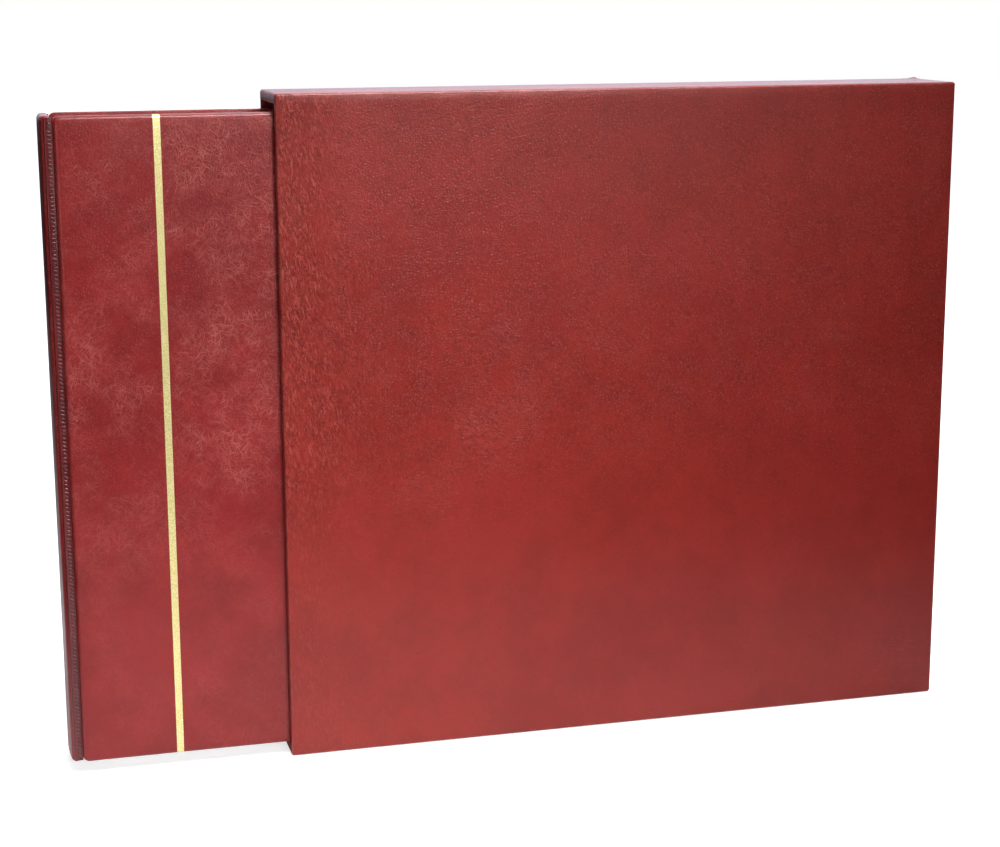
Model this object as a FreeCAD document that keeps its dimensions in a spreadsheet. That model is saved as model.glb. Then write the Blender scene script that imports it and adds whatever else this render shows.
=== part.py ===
"""Post-bound stamp album with padded covers, drawn part of the way out of its slipcase.

Millimetres, +Z up.  The origin is the middle of the slipcase's underside, the slipcase's closed
end faces +X, the album leaves through the mouth at -X, and the front faces look towards -Y.
"""
import FreeCAD, Part
import math
import os
import Sketcher

OUT_DIR = "parts"
doc = FreeCAD.newDocument("stamp_album")
V = FreeCAD.Vector

# ---------------------------------------------------------------- driving dimensions
SIZES = (
    ("album_height", 306.0, "album outside, head to tail"),
    ("album_width", 336.0, "album outside, spine to fore-edge"),
    ("album_thick", 36.0, "album outside, cover to cover"),
    ("pulled_out", 105.5, "spine beyond the slipcase's mouth"),
    ("gap_side", 0.7, "album to lining, front and rear"),
    ("gap_below", 0.4, "album to lining, underneath"),
    ("gap_above", 3.6, "album to lining, on top"),
    ("gap_end", 1.0, "album to lining at the closed end, album home"),
    ("face_board", 2.8, "slipcase board, front and rear"),
    ("edge_board", 4.0, "slipcase board, top, bottom and closed end"),
    ("case_skin", 0.5, "leatherette on the slipcase"),
    ("case_lining", 0.5, "flocked lining paper in the slipcase"),
    ("case_turn_in", 14.0, "leatherette turned in at the mouth"),
    ("cover_skin", 0.5, "leatherette on the album"),
    ("cover_padding", 1.8, "foam under the leatherette"),
    ("cover_board", 2.2, "album cover board"),
    ("cover_turn_in", 12.0, "leatherette turned in round a cover"),
    ("cover_corner", 3.0, "radius of a cover's four corners"),
    ("cover_round", 2.0, "rounding of a cover's outer edges"),
    ("endpaper", 0.3, "endpaper and spine lining paper"),
    ("spine_reach", 6.0, "spine beyond the covers' hinge edges"),
    ("spine_setback", 3.0, "spine's sides behind the covers' faces"),
    ("spine_board", 1.8, "spine board"),
    ("spine_padding", 2.2, "foam on the spine, at its middle"),
    ("spine_crown", 0.8, "rise of the spine's outer face"),
    ("spine_turn_in", 8.0, "leatherette turned in at head and tail of the spine"),
    ("spine_lip", 4.0, "leatherette turned in along the spine's sides"),
    ("seam_width", 3.0, "welded hinge seam, across"),
    ("seam_thick", 1.0, "welded hinge seam, through"),
    ("stripe_from_edge", 44.5, "gold stripe from the hinge edge of the front cover"),
    ("stripe_width", 3.3, "gold stripe, across"),
    ("stripe_thick", 0.15, "gold stripe, proud of the leatherette"),
    ("leaf_thick", 1.0, "album leaf"),
    ("leaf_spacing", 0.25, "room for strips and glassine between leaves"),
    ("leaf_inset", 6.0, "leaves inside the covers, head and tail"),
    ("leaf_fore_inset", 7.0, "leaves inside the covers, fore-edge"),
    ("leaf_from_spine", 6.0, "spine's inner face to the leaves"),
    ("flyleaf", 0.3, "flyleaf"),
    ("score_from_edge", 27.0, "fold line of a leaf from its bound edge"),
    ("score_width", 1.2, "fold line, across"),
    ("score_depth", 0.4, "fold line, deep"),
    ("bar_width", 24.0, "binding bar, across"),
    ("bar_thick", 1.4, "binding bar, through"),
    ("post_count", 4.0, "screw posts"),
    ("post_end", 27.0, "outer posts from the ends of the leaves"),
    ("post_from_edge", 13.0, "posts from the bound edge"),
    ("post_diameter", 5.0, "post barrel"),
    ("post_clearance", 0.3, "all round a barrel in bars and leaves"),
    ("post_bore", 3.2, "tapped bore of a barrel"),
    ("screw_shank", 2.9, "screw shank"),
    ("screw_length", 12.0, "screw shank inside the barrel"),
    ("head_diameter", 9.0, "post flange and screw head, across"),
    ("head_thick", 1.1, "post flange and screw head, high"),
    ("head_clearance", 0.2, "head to the inside of a cover"),
    ("slot_width", 1.0, "driver slot, across"),
    ("slot_depth", 0.6, "driver slot, deep"),
    ("cloth_thick", 0.4, "hinge cloth"),
    ("cloth_overhang", 3.5, "hinge cloth beyond the bound edge"),
    ("cloth_clearance", 1.0, "hinge cloth to the post heads"),
    ("strip_rows", 6.0, "clear strips on a leaf"),
    ("strip_film", 0.12, "clear strip film"),
    ("strip_gap", 5.0, "between the rows of strips"),
    ("strip_margin", 8.0, "strips from the free edges of a leaf"),
    ("glassine", 0.06, "glassine interleaf"),
    ("glassine_margin", 3.0, "glassine from the free edges of a leaf"),
)
size = {name: value for name, value, meaning in SIZES}

sheet = doc.addObject("Spreadsheet::Sheet", "sizes")


def add_cell(row, name, value, meaning):
    """One line of the sheet: its name, its value with an alias, and what it measures."""
    sheet.set(f"A{row}", name)
    sheet.set(f"B{row}", str(value))
    sheet.set(f"C{row}", meaning)
    sheet.setAlias(f"B{row}", name)


for line, (name, value, meaning) in enumerate(SIZES, start=1):
    add_cell(line, name, value, meaning)

# As many leaves as fit between the covers, the bars and the post heads.
cover_stack = 2 * size["cover_skin"] + size["cover_padding"] + size["cover_board"]
fittings = size["head_clearance"] + size["head_thick"] + size["bar_thick"] + size["flyleaf"]
leaf_room = size["album_thick"] - 2 * cover_stack - 2 * fittings
ROUND_OFF = 1e-6
leaf_count = int((leaf_room + ROUND_OFF) / (size["leaf_thick"] + size["leaf_spacing"]))
add_cell(len(SIZES) + 1, "leaf_count", leaf_count, "leaves, as many as fit")
post_count = int(size["post_count"])
doc.recompute()

# ---------------------------------------------------------------- planes shared by the pieces
FACE_WALL = "(sizes.case_skin + sizes.face_board + sizes.case_lining)"
EDGE_WALL = "(sizes.case_skin + sizes.edge_board + sizes.case_lining)"
FACE_BACK = "(sizes.case_skin + sizes.face_board)"
EDGE_BACK = "(sizes.case_skin + sizes.edge_board)"
CASE_DEPTH = f"(sizes.album_thick + 2 * sizes.gap_side + 2 * {FACE_WALL})"
CASE_HEIGHT = f"(sizes.album_height + sizes.gap_below + sizes.gap_above + 2 * {EDGE_WALL})"
CASE_WIDTH = f"(sizes.album_width + sizes.gap_end + {EDGE_WALL})"
CASE_LEFT = f"(-{CASE_WIDTH} / 2)"
CASE_FRONT = f"(-{CASE_DEPTH} / 2)"

COVER = "(2 * sizes.cover_skin + sizes.cover_padding + sizes.cover_board)"
ALBUM_LEFT = f"({CASE_LEFT} - sizes.pulled_out)"
ALBUM_RIGHT = f"({ALBUM_LEFT} + sizes.album_width)"
ALBUM_BASE = f"({EDGE_WALL} + sizes.gap_below)"
ALBUM_TOP = f"({ALBUM_BASE} + sizes.album_height)"
ALBUM_HALF = "(sizes.album_thick / 2)"
COVER_LEFT = f"({ALBUM_LEFT} + sizes.spine_reach)"
COVER_WIDTH = "(sizes.album_width - sizes.spine_reach)"
COVER_INSIDE = f"({ALBUM_HALF} - {COVER})"

SPINE = "(2 * sizes.cover_skin + sizes.spine_board + sizes.spine_padding)"
SPINE_WIDTH = "(sizes.album_thick - 2 * sizes.spine_setback)"
SPINE_SIDE = f"({SPINE_WIDTH} / 2)"
SPINE_INSIDE = f"({ALBUM_LEFT} + {SPINE})"

LEAF_LEFT = f"({SPINE_INSIDE} + sizes.leaf_from_spine)"
LEAF_WIDTH = f"({ALBUM_RIGHT} - sizes.leaf_fore_inset - {LEAF_LEFT})"
LEAF_BASE = f"({ALBUM_BASE} + sizes.leaf_inset)"
LEAF_HEIGHT = "(sizes.album_height - 2 * sizes.leaf_inset)"
LEAF_PITCH = "(sizes.leaf_thick + sizes.leaf_spacing)"
LEAVES_HALF = f"(sizes.leaf_count * {LEAF_PITCH} / 2)"
STACK_HALF = f"({LEAVES_HALF} + sizes.flyleaf)"
BAR_OUTSIDE = f"({STACK_HALF} + sizes.bar_thick)"
POST_STEP = f"(({LEAF_HEIGHT} - 2 * sizes.post_end) / (sizes.post_count - 1))"
POST_LINE = f"({LEAF_LEFT} + sizes.post_from_edge)"
POST_HOLE = "(sizes.post_diameter + 2 * sizes.post_clearance)"

TOLERANCE = 1e-4
node_list = []


def keep(feature, label):
    """Name a finished sub-part and put it on the list of nodes."""
    feature.Label = label
    node_list.append(feature)
    return feature


def bind(feature, expressions):
    """Bind properties of a feature to expressions over the sheet."""
    for name, text in expressions.items():
        feature.setExpression(name, text)
    return feature


def place(feature, corner):
    """Bind where a feature stands."""
    x_text, y_text, z_text = corner
    return bind(feature, {
        "Placement.Base.x": x_text,
        "Placement.Base.y": y_text,
        "Placement.Base.z": z_text,
    })


def make_box(name, corner, extent):
    """A Part::Box with its corner and its three sides bound to the sheet."""
    block = doc.addObject("Part::Box", name)
    bind(block, {"Length": extent[0], "Width": extent[1], "Height": extent[2]})
    return place(block, corner)


def make_rod(name, corner, diameter, length):
    """A Part::Cylinder along +Y."""
    rod = doc.addObject("Part::Cylinder", name)
    rod.Placement = FreeCAD.Placement(V(0, 0, 0), FreeCAD.Rotation(V(1, 0, 0), -90))
    bind(rod, {"Radius": f"{diameter} / 2", "Height": length})
    return place(rod, corner)


def join(name, members):
    """Fuse several Part features into one."""
    fused = doc.addObject("Part::MultiFuse", name)
    fused.Shapes = members
    return fused


def cut_away(name, base, tool):
    """Cut one Part feature from another."""
    rest = doc.addObject("Part::Cut", name)
    rest.Base = base
    rest.Tool = tool
    return rest


def plain_box(label, corner, extent):
    """A sub-part that is one rectangular sheet or board."""
    return keep(make_box(label, corner, extent), label)


# ---------------------------------------------------------------- PartDesign helpers
def new_body(label, corner, turn=None):
    """A body with its place bound to the sheet, and a fixed turn if it has one."""
    body = doc.addObject("PartDesign::Body", label)
    if turn is not None:
        body.Placement = FreeCAD.Placement(V(0, 0, 0), turn)
    return place(body, corner)


def origin_feature(body, role):
    """A plane or an axis of the body's own origin."""
    return [item for item in body.Origin.OriginFeatures if item.Role == role][0]


def new_sketch(body, name, role, depth=None):
    """A sketch on an origin plane of its body, or at a depth behind that plane."""
    sketch = body.newObject("Sketcher::SketchObject", name)
    sketch.AttachmentSupport = [(origin_feature(body, role), "")]
    sketch.MapMode = "FlatFace"
    if depth is not None:
        sketch.setExpression("AttachmentOffset.Base.z", depth)
    return sketch


def dimension(sketch, kind, places, value, key, text):
    """A named driving constraint bound to the sheet."""
    number = sketch.addConstraint(Sketcher.Constraint(kind, *places, value))
    sketch.renameConstraint(number, key)
    sketch.setExpression(f"Constraints.{key}", text)


def add_rectangle(sketch, key, left, low, width, height):
    """A rectangle by its lower left corner, its width and its height.

    It is drawn at a small starting size, which its bound dimensions then replace.
    """
    near = 1.0
    span = 8.0
    far = near + span
    corners = (V(near, near, 0), V(far, near, 0), V(far, far, 0), V(near, far, 0))
    first = sketch.GeometryCount
    for index in range(4):
        sketch.addGeometry(Part.LineSegment(corners[index], corners[(index + 1) % 4]))
    for index in range(4):
        follower = first + (index + 1) % 4
        sketch.addConstraint(Sketcher.Constraint("Coincident", first + index, 2, follower, 1))
    for index, kind in enumerate(("Horizontal", "Vertical", "Horizontal", "Vertical")):
        sketch.addConstraint(Sketcher.Constraint(kind, first + index))
    dimension(sketch, "DistanceX", (-1, 1, first, 1), near, f"{key}_left", left)
    dimension(sketch, "DistanceY", (-1, 1, first, 1), near, f"{key}_low", low)
    dimension(sketch, "DistanceX", (first, 1, first, 2), span, f"{key}_width", width)
    dimension(sketch, "DistanceY", (first + 1, 1, first + 1, 2), span, f"{key}_height", height)


def add_rounded_rectangle(sketch, key, width, height, radius):
    """A rectangle with four equal corner arcs, its lower left corner at the sketch's origin."""
    span = 20.0
    turn = 4.0
    side_ends = (
        ((turn, 0), (span - turn, 0)),
        ((span, turn), (span, span - turn)),
        ((span - turn, span), (turn, span)),
        ((0, span - turn), (0, turn)),
    )
    centres = ((span - turn, turn), (span - turn, span - turn), (turn, span - turn), (turn, turn))
    sides = []
    arcs = []
    for start, end in side_ends:
        sides.append(sketch.addGeometry(Part.LineSegment(V(*start, 0), V(*end, 0))))
    for index, centre in enumerate(centres):
        circle = Part.Circle(V(*centre, 0), V(0, 0, 1), turn)
        first_angle = math.radians(90 * (index - 1))
        arc = Part.ArcOfCircle(circle, first_angle, first_angle + math.radians(90))
        arcs.append(sketch.addGeometry(arc))
    for index in range(4):
        follower = sides[(index + 1) % 4]
        sketch.addConstraint(Sketcher.Constraint("Tangent", sides[index], 2, arcs[index], 1))
        sketch.addConstraint(Sketcher.Constraint("Tangent", arcs[index], 2, follower, 1))
    for side, kind in zip(sides, ("Horizontal", "Vertical", "Horizontal", "Vertical")):
        sketch.addConstraint(Sketcher.Constraint(kind, side))
    for index in range(1, 4):
        sketch.addConstraint(Sketcher.Constraint("Equal", arcs[0], arcs[index]))
    sketch.addConstraint(Sketcher.Constraint("PointOnObject", sides[0], 1, -1))
    sketch.addConstraint(Sketcher.Constraint("PointOnObject", sides[3], 1, -2))
    dimension(sketch, "Radius", (arcs[0],), turn, f"{key}_corner", radius)
    dimension(sketch, "DistanceX", (sides[3], 2, sides[1], 1), span, f"{key}_width", width)
    dimension(sketch, "DistanceY", (sides[0], 1, sides[2], 2), span, f"{key}_height", height)


def add_circle(sketch, key, across, up, diameter):
    """A circle by its centre and its diameter."""
    middle = 5.0
    radius = 2.0
    number = sketch.addGeometry(Part.Circle(V(middle, middle, 0), V(0, 0, 1), radius))
    dimension(sketch, "DistanceX", (-1, 1, number, 3), middle, f"{key}_across", across)
    dimension(sketch, "DistanceY", (-1, 1, number, 3), middle, f"{key}_up", up)
    dimension(sketch, "Diameter", (number,), 2 * radius, f"{key}_diameter", diameter)


def add_pad(body, sketch, name, length, backwards=False):
    """Pad a sketch by a bound length."""
    pad = body.newObject("PartDesign::Pad", name)
    pad.Profile = sketch
    pad.Reversed = backwards
    pad.setExpression("Length", length)
    doc.recompute()
    return pad


def add_pocket(body, sketch, name, length, backwards=False):
    """Pocket a sketch by a bound length, and insist that it takes something away."""
    before = body.Shape.Volume
    pocket = body.newObject("PartDesign::Pocket", name)
    pocket.Profile = sketch
    pocket.Reversed = backwards
    pocket.setExpression("Length", length)
    doc.recompute()
    if body.Shape.Volume >= before - TOLERANCE:
        raise RuntimeError(f"{body.Label}: {name} takes nothing away")
    return pocket


def edges_at_depth(shape, depth):
    """Names of the edges that lie in the plane y = depth."""
    found = []
    for index, edge in enumerate(shape.Edges, start=1):
        if abs(edge.BoundBox.YMin - depth) < TOLERANCE and abs(edge.BoundBox.YMax - depth) < TOLERANCE:
            found.append(f"Edge{index}")
    return found


def add_fillet(body, base, name, edges, radius):
    """Fillet edges of a feature by a bound radius."""
    fillet = body.newObject("PartDesign::Fillet", name)
    fillet.Base = (base, edges)
    fillet.setExpression("Radius", radius)
    doc.recompute()
    return fillet


# ---------------------------------------------------------------- slipcase
def case_x(text):
    """Distance from the mouth."""
    return f"{CASE_LEFT} + {text}"


def case_y(text):
    """Distance behind the front face."""
    return f"{CASE_FRONT} + {text}"


def make_case_boards():
    """Two face boards, with the top, bottom and end boards between them."""
    board_x = case_x("sizes.case_skin")
    board_width = f"{CASE_WIDTH} - 2 * sizes.case_skin"
    face_extent = (board_width, "sizes.face_board", f"{CASE_HEIGHT} - 2 * sizes.case_skin")
    plain_box("case_front_board", (board_x, case_y("sizes.case_skin"), "sizes.case_skin"), face_extent)
    rear_y = case_y(f"{CASE_DEPTH} - {FACE_BACK}")
    plain_box("case_rear_board", (board_x, rear_y, "sizes.case_skin"), face_extent)
    between_y = case_y(FACE_BACK)
    between = f"{CASE_DEPTH} - 2 * {FACE_BACK}"
    edge_extent = (board_width, between, "sizes.edge_board")
    plain_box("case_bottom_board", (board_x, between_y, "sizes.case_skin"), edge_extent)
    top_z = f"{CASE_HEIGHT} - {EDGE_BACK}"
    plain_box("case_top_board", (board_x, between_y, top_z), edge_extent)
    plain_box(
        "case_end_board",
        (case_x(f"{CASE_WIDTH} - {EDGE_BACK}"), between_y, EDGE_BACK),
        ("sizes.edge_board", between, f"{CASE_HEIGHT} - 2 * {EDGE_BACK}"),
    )


def make_case_face_skin(label, outer_y, return_y, turned_y):
    """Leatherette on a face board: the sheet, its return over the mouth edge and its turn-in."""
    sheet_box = make_box(
        f"{label}_sheet", (CASE_LEFT, outer_y, "0"), (CASE_WIDTH, "sizes.case_skin", CASE_HEIGHT)
    )
    return_box = make_box(
        f"{label}_return",
        (CASE_LEFT, return_y, "sizes.case_skin"),
        ("sizes.case_skin", f"{FACE_WALL} - sizes.case_skin", f"{CASE_HEIGHT} - 2 * sizes.case_skin"),
    )
    turned_box = make_box(
        f"{label}_turned",
        (CASE_LEFT, turned_y, EDGE_BACK),
        ("sizes.case_turn_in", "sizes.case_lining", f"{CASE_HEIGHT} - 2 * {EDGE_BACK}"),
    )
    keep(join(label, [sheet_box, return_box, turned_box]), label)


def make_case_edge_skin(label, outer_z, return_z, turned_z):
    """Leatherette on the top or bottom board, with its return and turn-in at the mouth."""
    inner_y = case_y(FACE_WALL)
    inner = f"{CASE_DEPTH} - 2 * {FACE_WALL}"
    sheet_box = make_box(
        f"{label}_sheet",
        (CASE_LEFT, case_y("sizes.case_skin"), outer_z),
        (CASE_WIDTH, f"{CASE_DEPTH} - 2 * sizes.case_skin", "sizes.case_skin"),
    )
    return_box = make_box(
        f"{label}_return",
        (CASE_LEFT, inner_y, return_z),
        ("sizes.case_skin", inner, f"{EDGE_WALL} - sizes.case_skin"),
    )
    turned_box = make_box(
        f"{label}_turned",
        (CASE_LEFT, inner_y, turned_z),
        ("sizes.case_turn_in", inner, "sizes.case_lining"),
    )
    keep(join(label, [sheet_box, return_box, turned_box]), label)


def make_case_skins():
    """Leatherette on all five sides of the slipcase."""
    make_case_face_skin("case_front_skin", CASE_FRONT, case_y("sizes.case_skin"), case_y(FACE_BACK))
    rear_wall = case_y(f"{CASE_DEPTH} - {FACE_WALL}")
    rear_sheet = case_y(f"{CASE_DEPTH} - sizes.case_skin")
    make_case_face_skin("case_rear_skin", rear_sheet, rear_wall, rear_wall)
    make_case_edge_skin("case_bottom_skin", "0", "sizes.case_skin", EDGE_BACK)
    top_wall = f"{CASE_HEIGHT} - {EDGE_WALL}"
    make_case_edge_skin("case_top_skin", f"{CASE_HEIGHT} - sizes.case_skin", top_wall, top_wall)
    plain_box(
        "case_end_skin",
        (case_x(f"{CASE_WIDTH} - sizes.case_skin"), case_y("sizes.case_skin"), "sizes.case_skin"),
        ("sizes.case_skin", f"{CASE_DEPTH} - 2 * sizes.case_skin", f"{CASE_HEIGHT} - 2 * sizes.case_skin"),
    )


def make_case_linings():
    """Flocked lining on the five inner faces, from the turn-ins to the closed end."""
    lining_x = case_x("sizes.case_turn_in")
    face_extent = (
        f"{CASE_WIDTH} - sizes.case_turn_in - {EDGE_BACK}",
        "sizes.case_lining",
        f"{CASE_HEIGHT} - 2 * {EDGE_BACK}",
    )
    plain_box("case_front_lining", (lining_x, case_y(FACE_BACK), EDGE_BACK), face_extent)
    rear_y = case_y(f"{CASE_DEPTH} - {FACE_WALL}")
    plain_box("case_rear_lining", (lining_x, rear_y, EDGE_BACK), face_extent)
    inner_y = case_y(FACE_WALL)
    inner = f"{CASE_DEPTH} - 2 * {FACE_WALL}"
    edge_extent = (
        f"{CASE_WIDTH} - sizes.case_turn_in - {EDGE_WALL}", inner, "sizes.case_lining"
    )
    plain_box("case_bottom_lining", (lining_x, inner_y, EDGE_BACK), edge_extent)
    plain_box("case_top_lining", (lining_x, inner_y, f"{CASE_HEIGHT} - {EDGE_WALL}"), edge_extent)
    plain_box(
        "case_end_lining",
        (case_x(f"{CASE_WIDTH} - {EDGE_WALL}"), inner_y, EDGE_BACK),
        ("sizes.case_lining", inner, f"{CASE_HEIGHT} - 2 * {EDGE_BACK}"),
    )


# ---------------------------------------------------------------- covers
# A cover is built with its outer face at y = 0 and its inside towards +y; the rear cover is the
# same shape turned over about the X axis.
TURNED_OVER = FreeCAD.Rotation(V(1, 0, 0), 180)


def cover_slab(name, side, inset, depth, thickness, rounding):
    """A body with a cover's outline drawn in by inset, from one depth in the cover to another.

    Its corners follow the cover's, and its outer edges are rounded where rounding gives a radius.
    """
    left = f"{COVER_LEFT} + {inset}"
    if side == "front":
        body = new_body(name, (left, f"-{ALBUM_HALF} + {depth}", f"{ALBUM_BASE} + {inset}"))
    else:
        corner = (left, f"{ALBUM_HALF} - ({depth})", f"{ALBUM_TOP} - {inset}")
        body = new_body(name, corner, TURNED_OVER)
    outline = new_sketch(body, f"{name}_outline", "XZ_Plane")
    add_rounded_rectangle(
        outline, "slab", f"{COVER_WIDTH} - 2 * {inset}", f"sizes.album_height - 2 * {inset}",
        f"sizes.cover_corner - {inset}",
    )
    slab = add_pad(body, outline, f"{name}_slab", thickness, backwards=True)
    if rounding is not None:
        add_fillet(body, slab, f"{name}_rounding", edges_at_depth(slab.Shape, 0), rounding)
    return body


def make_cover_skin(side):
    """Leatherette wrapped round a cover, hollow for its foam and board, open at the endpaper."""
    label = f"{side}_cover_skin"
    outside = cover_slab(f"{label}_outside", side, "0", "0", COVER, "sizes.cover_round")
    inside = cover_slab(
        f"{label}_inside", side, "sizes.cover_skin", "sizes.cover_skin",
        "sizes.cover_padding + sizes.cover_board", "sizes.cover_round - sizes.cover_skin",
    )
    window_y = f"-{COVER_INSIDE} - sizes.cover_skin"
    if side == "rear":
        window_y = COVER_INSIDE
    window = make_box(
        f"{label}_window",
        (f"{COVER_LEFT} + sizes.cover_turn_in", window_y, f"{ALBUM_BASE} + sizes.cover_turn_in"),
        (
            f"{COVER_WIDTH} - 2 * sizes.cover_turn_in",
            "sizes.cover_skin",
            "sizes.album_height - 2 * sizes.cover_turn_in",
        ),
    )
    keep(cut_away(label, outside, join(f"{label}_hollow", [inside, window])), label)


def make_cover(side):
    """Leatherette, foam, board and endpaper of one cover."""
    make_cover_skin(side)
    keep(
        cover_slab(
            f"{side}_cover_padding", side, "sizes.cover_skin", "sizes.cover_skin",
            "sizes.cover_padding", "sizes.cover_round - sizes.cover_skin",
        ),
        f"{side}_cover_padding",
    )
    keep(
        cover_slab(
            f"{side}_cover_board", side, "sizes.cover_skin",
            "sizes.cover_skin + sizes.cover_padding", "sizes.cover_board", None,
        ),
        f"{side}_cover_board",
    )
    paper_y = f"-{COVER_INSIDE} - sizes.cover_skin"
    if side == "rear":
        paper_y = f"{COVER_INSIDE} + sizes.cover_skin - sizes.endpaper"
    plain_box(
        f"{side}_endpaper",
        (f"{COVER_LEFT} + sizes.cover_turn_in", paper_y, f"{ALBUM_BASE} + sizes.cover_turn_in"),
        (
            f"{COVER_WIDTH} - 2 * sizes.cover_turn_in",
            "sizes.endpaper",
            "sizes.album_height - 2 * sizes.cover_turn_in",
        ),
    )


def make_gold_stripe():
    """Foil stripe down the front cover, between the rounded head and tail."""
    plain_box(
        "gold_stripe",
        (
            f"{COVER_LEFT} + sizes.stripe_from_edge",
            f"-{ALBUM_HALF} - sizes.stripe_thick",
            f"{ALBUM_BASE} + sizes.cover_round",
        ),
        ("sizes.stripe_width", "sizes.stripe_thick", "sizes.album_height - 2 * sizes.cover_round"),
    )


# ---------------------------------------------------------------- spine and hinge seams
def add_spine_outline(sketch, inset, depth):
    """A flat-backed section with rounded sides and a crowned outer face.

    Sketch x runs from the outermost point towards the leaves and y across the spine.  inset is
    how far inside the leatherette's surface the outline lies.  depth is the place of the flat
    back, or None where the back is at the end of the rounded sides.
    """
    crown = "sizes.spine_crown"
    side = "(sizes.spine_padding + sizes.cover_skin)"
    turn = f"({side} - {crown} - {inset})"
    low = f"({inset})"
    high = f"({SPINE_WIDTH} - {inset})"
    shoulder = f"({crown} + {inset})"
    half_chord = f"({SPINE_SIDE} - {inset} - {turn})"
    crown_radius = f"({half_chord} * {half_chord} + {crown} * {crown}) / (2 * {crown})"

    wide = size["album_thick"] - 2 * size["spine_setback"]
    rise = size["spine_crown"]
    shoulder_x = size["spine_padding"] + size["cover_skin"]
    round_off = shoulder_x - rise
    chord = wide / 2 - round_off
    bow = (chord ** 2 + rise ** 2) / (2 * rise)
    swing = math.asin(chord / bow)
    right_angle = math.radians(90)
    half_turn = math.radians(180)
    side_high = V(shoulder_x, wide, 0)
    side_low = V(shoulder_x, 0, 0)
    high_circle = Part.Circle(V(shoulder_x, wide - round_off, 0), V(0, 0, 1), round_off)
    crown_circle = Part.Circle(V(bow, wide / 2, 0), V(0, 0, 1), bow)
    low_circle = Part.Circle(V(shoulder_x, round_off, 0), V(0, 0, 1), round_off)
    pieces = [
        Part.ArcOfCircle(high_circle, right_angle, half_turn),
        Part.ArcOfCircle(crown_circle, half_turn - swing, half_turn + swing),
        Part.ArcOfCircle(low_circle, half_turn, half_turn + right_angle),
    ]
    across = [side, shoulder, shoulder, side]
    up = [high, f"{high} - {turn}", f"{low} + {turn}", low]
    if depth is None:
        pieces.append(Part.LineSegment(side_low, side_high))
    else:
        back_low = V(shoulder_x + size["spine_board"], 0, 0)
        back_high = V(shoulder_x + size["spine_board"], wide, 0)
        pieces.append(Part.LineSegment(side_low, back_low))
        pieces.append(Part.LineSegment(back_low, back_high))
        pieces.append(Part.LineSegment(back_high, side_high))
        across += [f"({depth})", f"({depth})"]
        up += [low, high]

    numbers = [sketch.addGeometry(piece) for piece in pieces]
    for index, number in enumerate(numbers):
        follower = numbers[(index + 1) % len(numbers)]
        sketch.addConstraint(Sketcher.Constraint("Coincident", number, 2, follower, 1))
    for index, number in enumerate(numbers):
        begins = sketch.Geometry[number].StartPoint
        spot = (-1, 1, number, 1)
        dimension(sketch, "DistanceX", spot, begins.x, f"across_{index}", across[index])
        dimension(sketch, "DistanceY", spot, begins.y, f"up_{index}", up[index])
    dimension(sketch, "Radius", (numbers[0],), round_off, "high_turn", turn)
    dimension(sketch, "Radius", (numbers[1],), bow, "crown_radius", crown_radius)
    dimension(sketch, "Radius", (numbers[2],), round_off, "low_turn", turn)


def spine_body(label, inset="0"):
    """A body at the foot of the spine's outermost line."""
    return new_body(label, (ALBUM_LEFT, f"-{SPINE_SIDE}", f"{ALBUM_BASE} + {inset}"))


def make_spine():
    """Leatherette, foam, board and lining of the spine."""
    skin = keep(spine_body("spine_skin"), "spine_skin")
    outline = new_sketch(skin, "spine_outline", "XY_Plane")
    add_spine_outline(outline, "0", SPINE)
    add_pad(skin, outline, "spine_block", "sizes.album_height")
    cavity = new_sketch(skin, "spine_cavity_outline", "XY_Plane", "sizes.cover_skin")
    add_spine_outline(cavity, "sizes.cover_skin", f"{SPINE} - sizes.cover_skin")
    hollow = "sizes.album_height - 2 * sizes.cover_skin"
    add_pocket(skin, cavity, "spine_hollow", hollow, backwards=True)
    window = new_sketch(skin, "spine_window_outline", "YZ_Plane", f"{SPINE} - sizes.cover_skin")
    add_rectangle(window, "window", "sizes.spine_lip", "sizes.spine_turn_in",
                  f"{SPINE_WIDTH} - 2 * sizes.spine_lip",
                  "sizes.album_height - 2 * sizes.spine_turn_in")
    add_pocket(skin, window, "spine_window", "sizes.cover_skin", backwards=True)

    padding = keep(spine_body("spine_foam", "sizes.cover_skin"), "spine_padding")
    foam = new_sketch(padding, "spine_foam_outline", "XY_Plane")
    add_spine_outline(foam, "sizes.cover_skin", None)
    add_pad(padding, foam, "spine_foam_block", hollow)
    plain_box(
        "spine_board",
        (
            f"{SPINE_INSIDE} - sizes.cover_skin - sizes.spine_board",
            f"-{SPINE_SIDE} + sizes.cover_skin",
            f"{ALBUM_BASE} + sizes.cover_skin",
        ),
        ("sizes.spine_board", f"{SPINE_WIDTH} - 2 * sizes.cover_skin", hollow),
    )
    plain_box(
        "spine_lining",
        (
            f"{SPINE_INSIDE} - sizes.cover_skin",
            f"-{SPINE_SIDE} + sizes.spine_lip",
            f"{ALBUM_BASE} + sizes.spine_turn_in",
        ),
        (
            "sizes.endpaper",
            f"{SPINE_WIDTH} - 2 * sizes.spine_lip",
            "sizes.album_height - 2 * sizes.spine_turn_in",
        ),
    )


def make_hinge_seams():
    """Welded strips that join the spine's sides to the covers' hinge edges."""
    extent = ("sizes.seam_width", "sizes.seam_thick", "sizes.album_height")
    seam_x = f"{COVER_LEFT} - sizes.seam_width"
    plain_box("front_hinge_seam", (seam_x, f"-{SPINE_SIDE} - sizes.seam_thick", ALBUM_BASE), extent)
    plain_box("rear_hinge_seam", (seam_x, SPINE_SIDE, ALBUM_BASE), extent)


# ---------------------------------------------------------------- binding and leaves
def add_post_holes(sketch):
    """The row of holes that the posts pass through, in a sketch that starts at a leaf's corner."""
    for index in range(post_count):
        up = f"sizes.post_end + {index} * {POST_STEP}"
        add_circle(sketch, f"hole_{index}", "sizes.post_from_edge", up, POST_HOLE)


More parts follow.
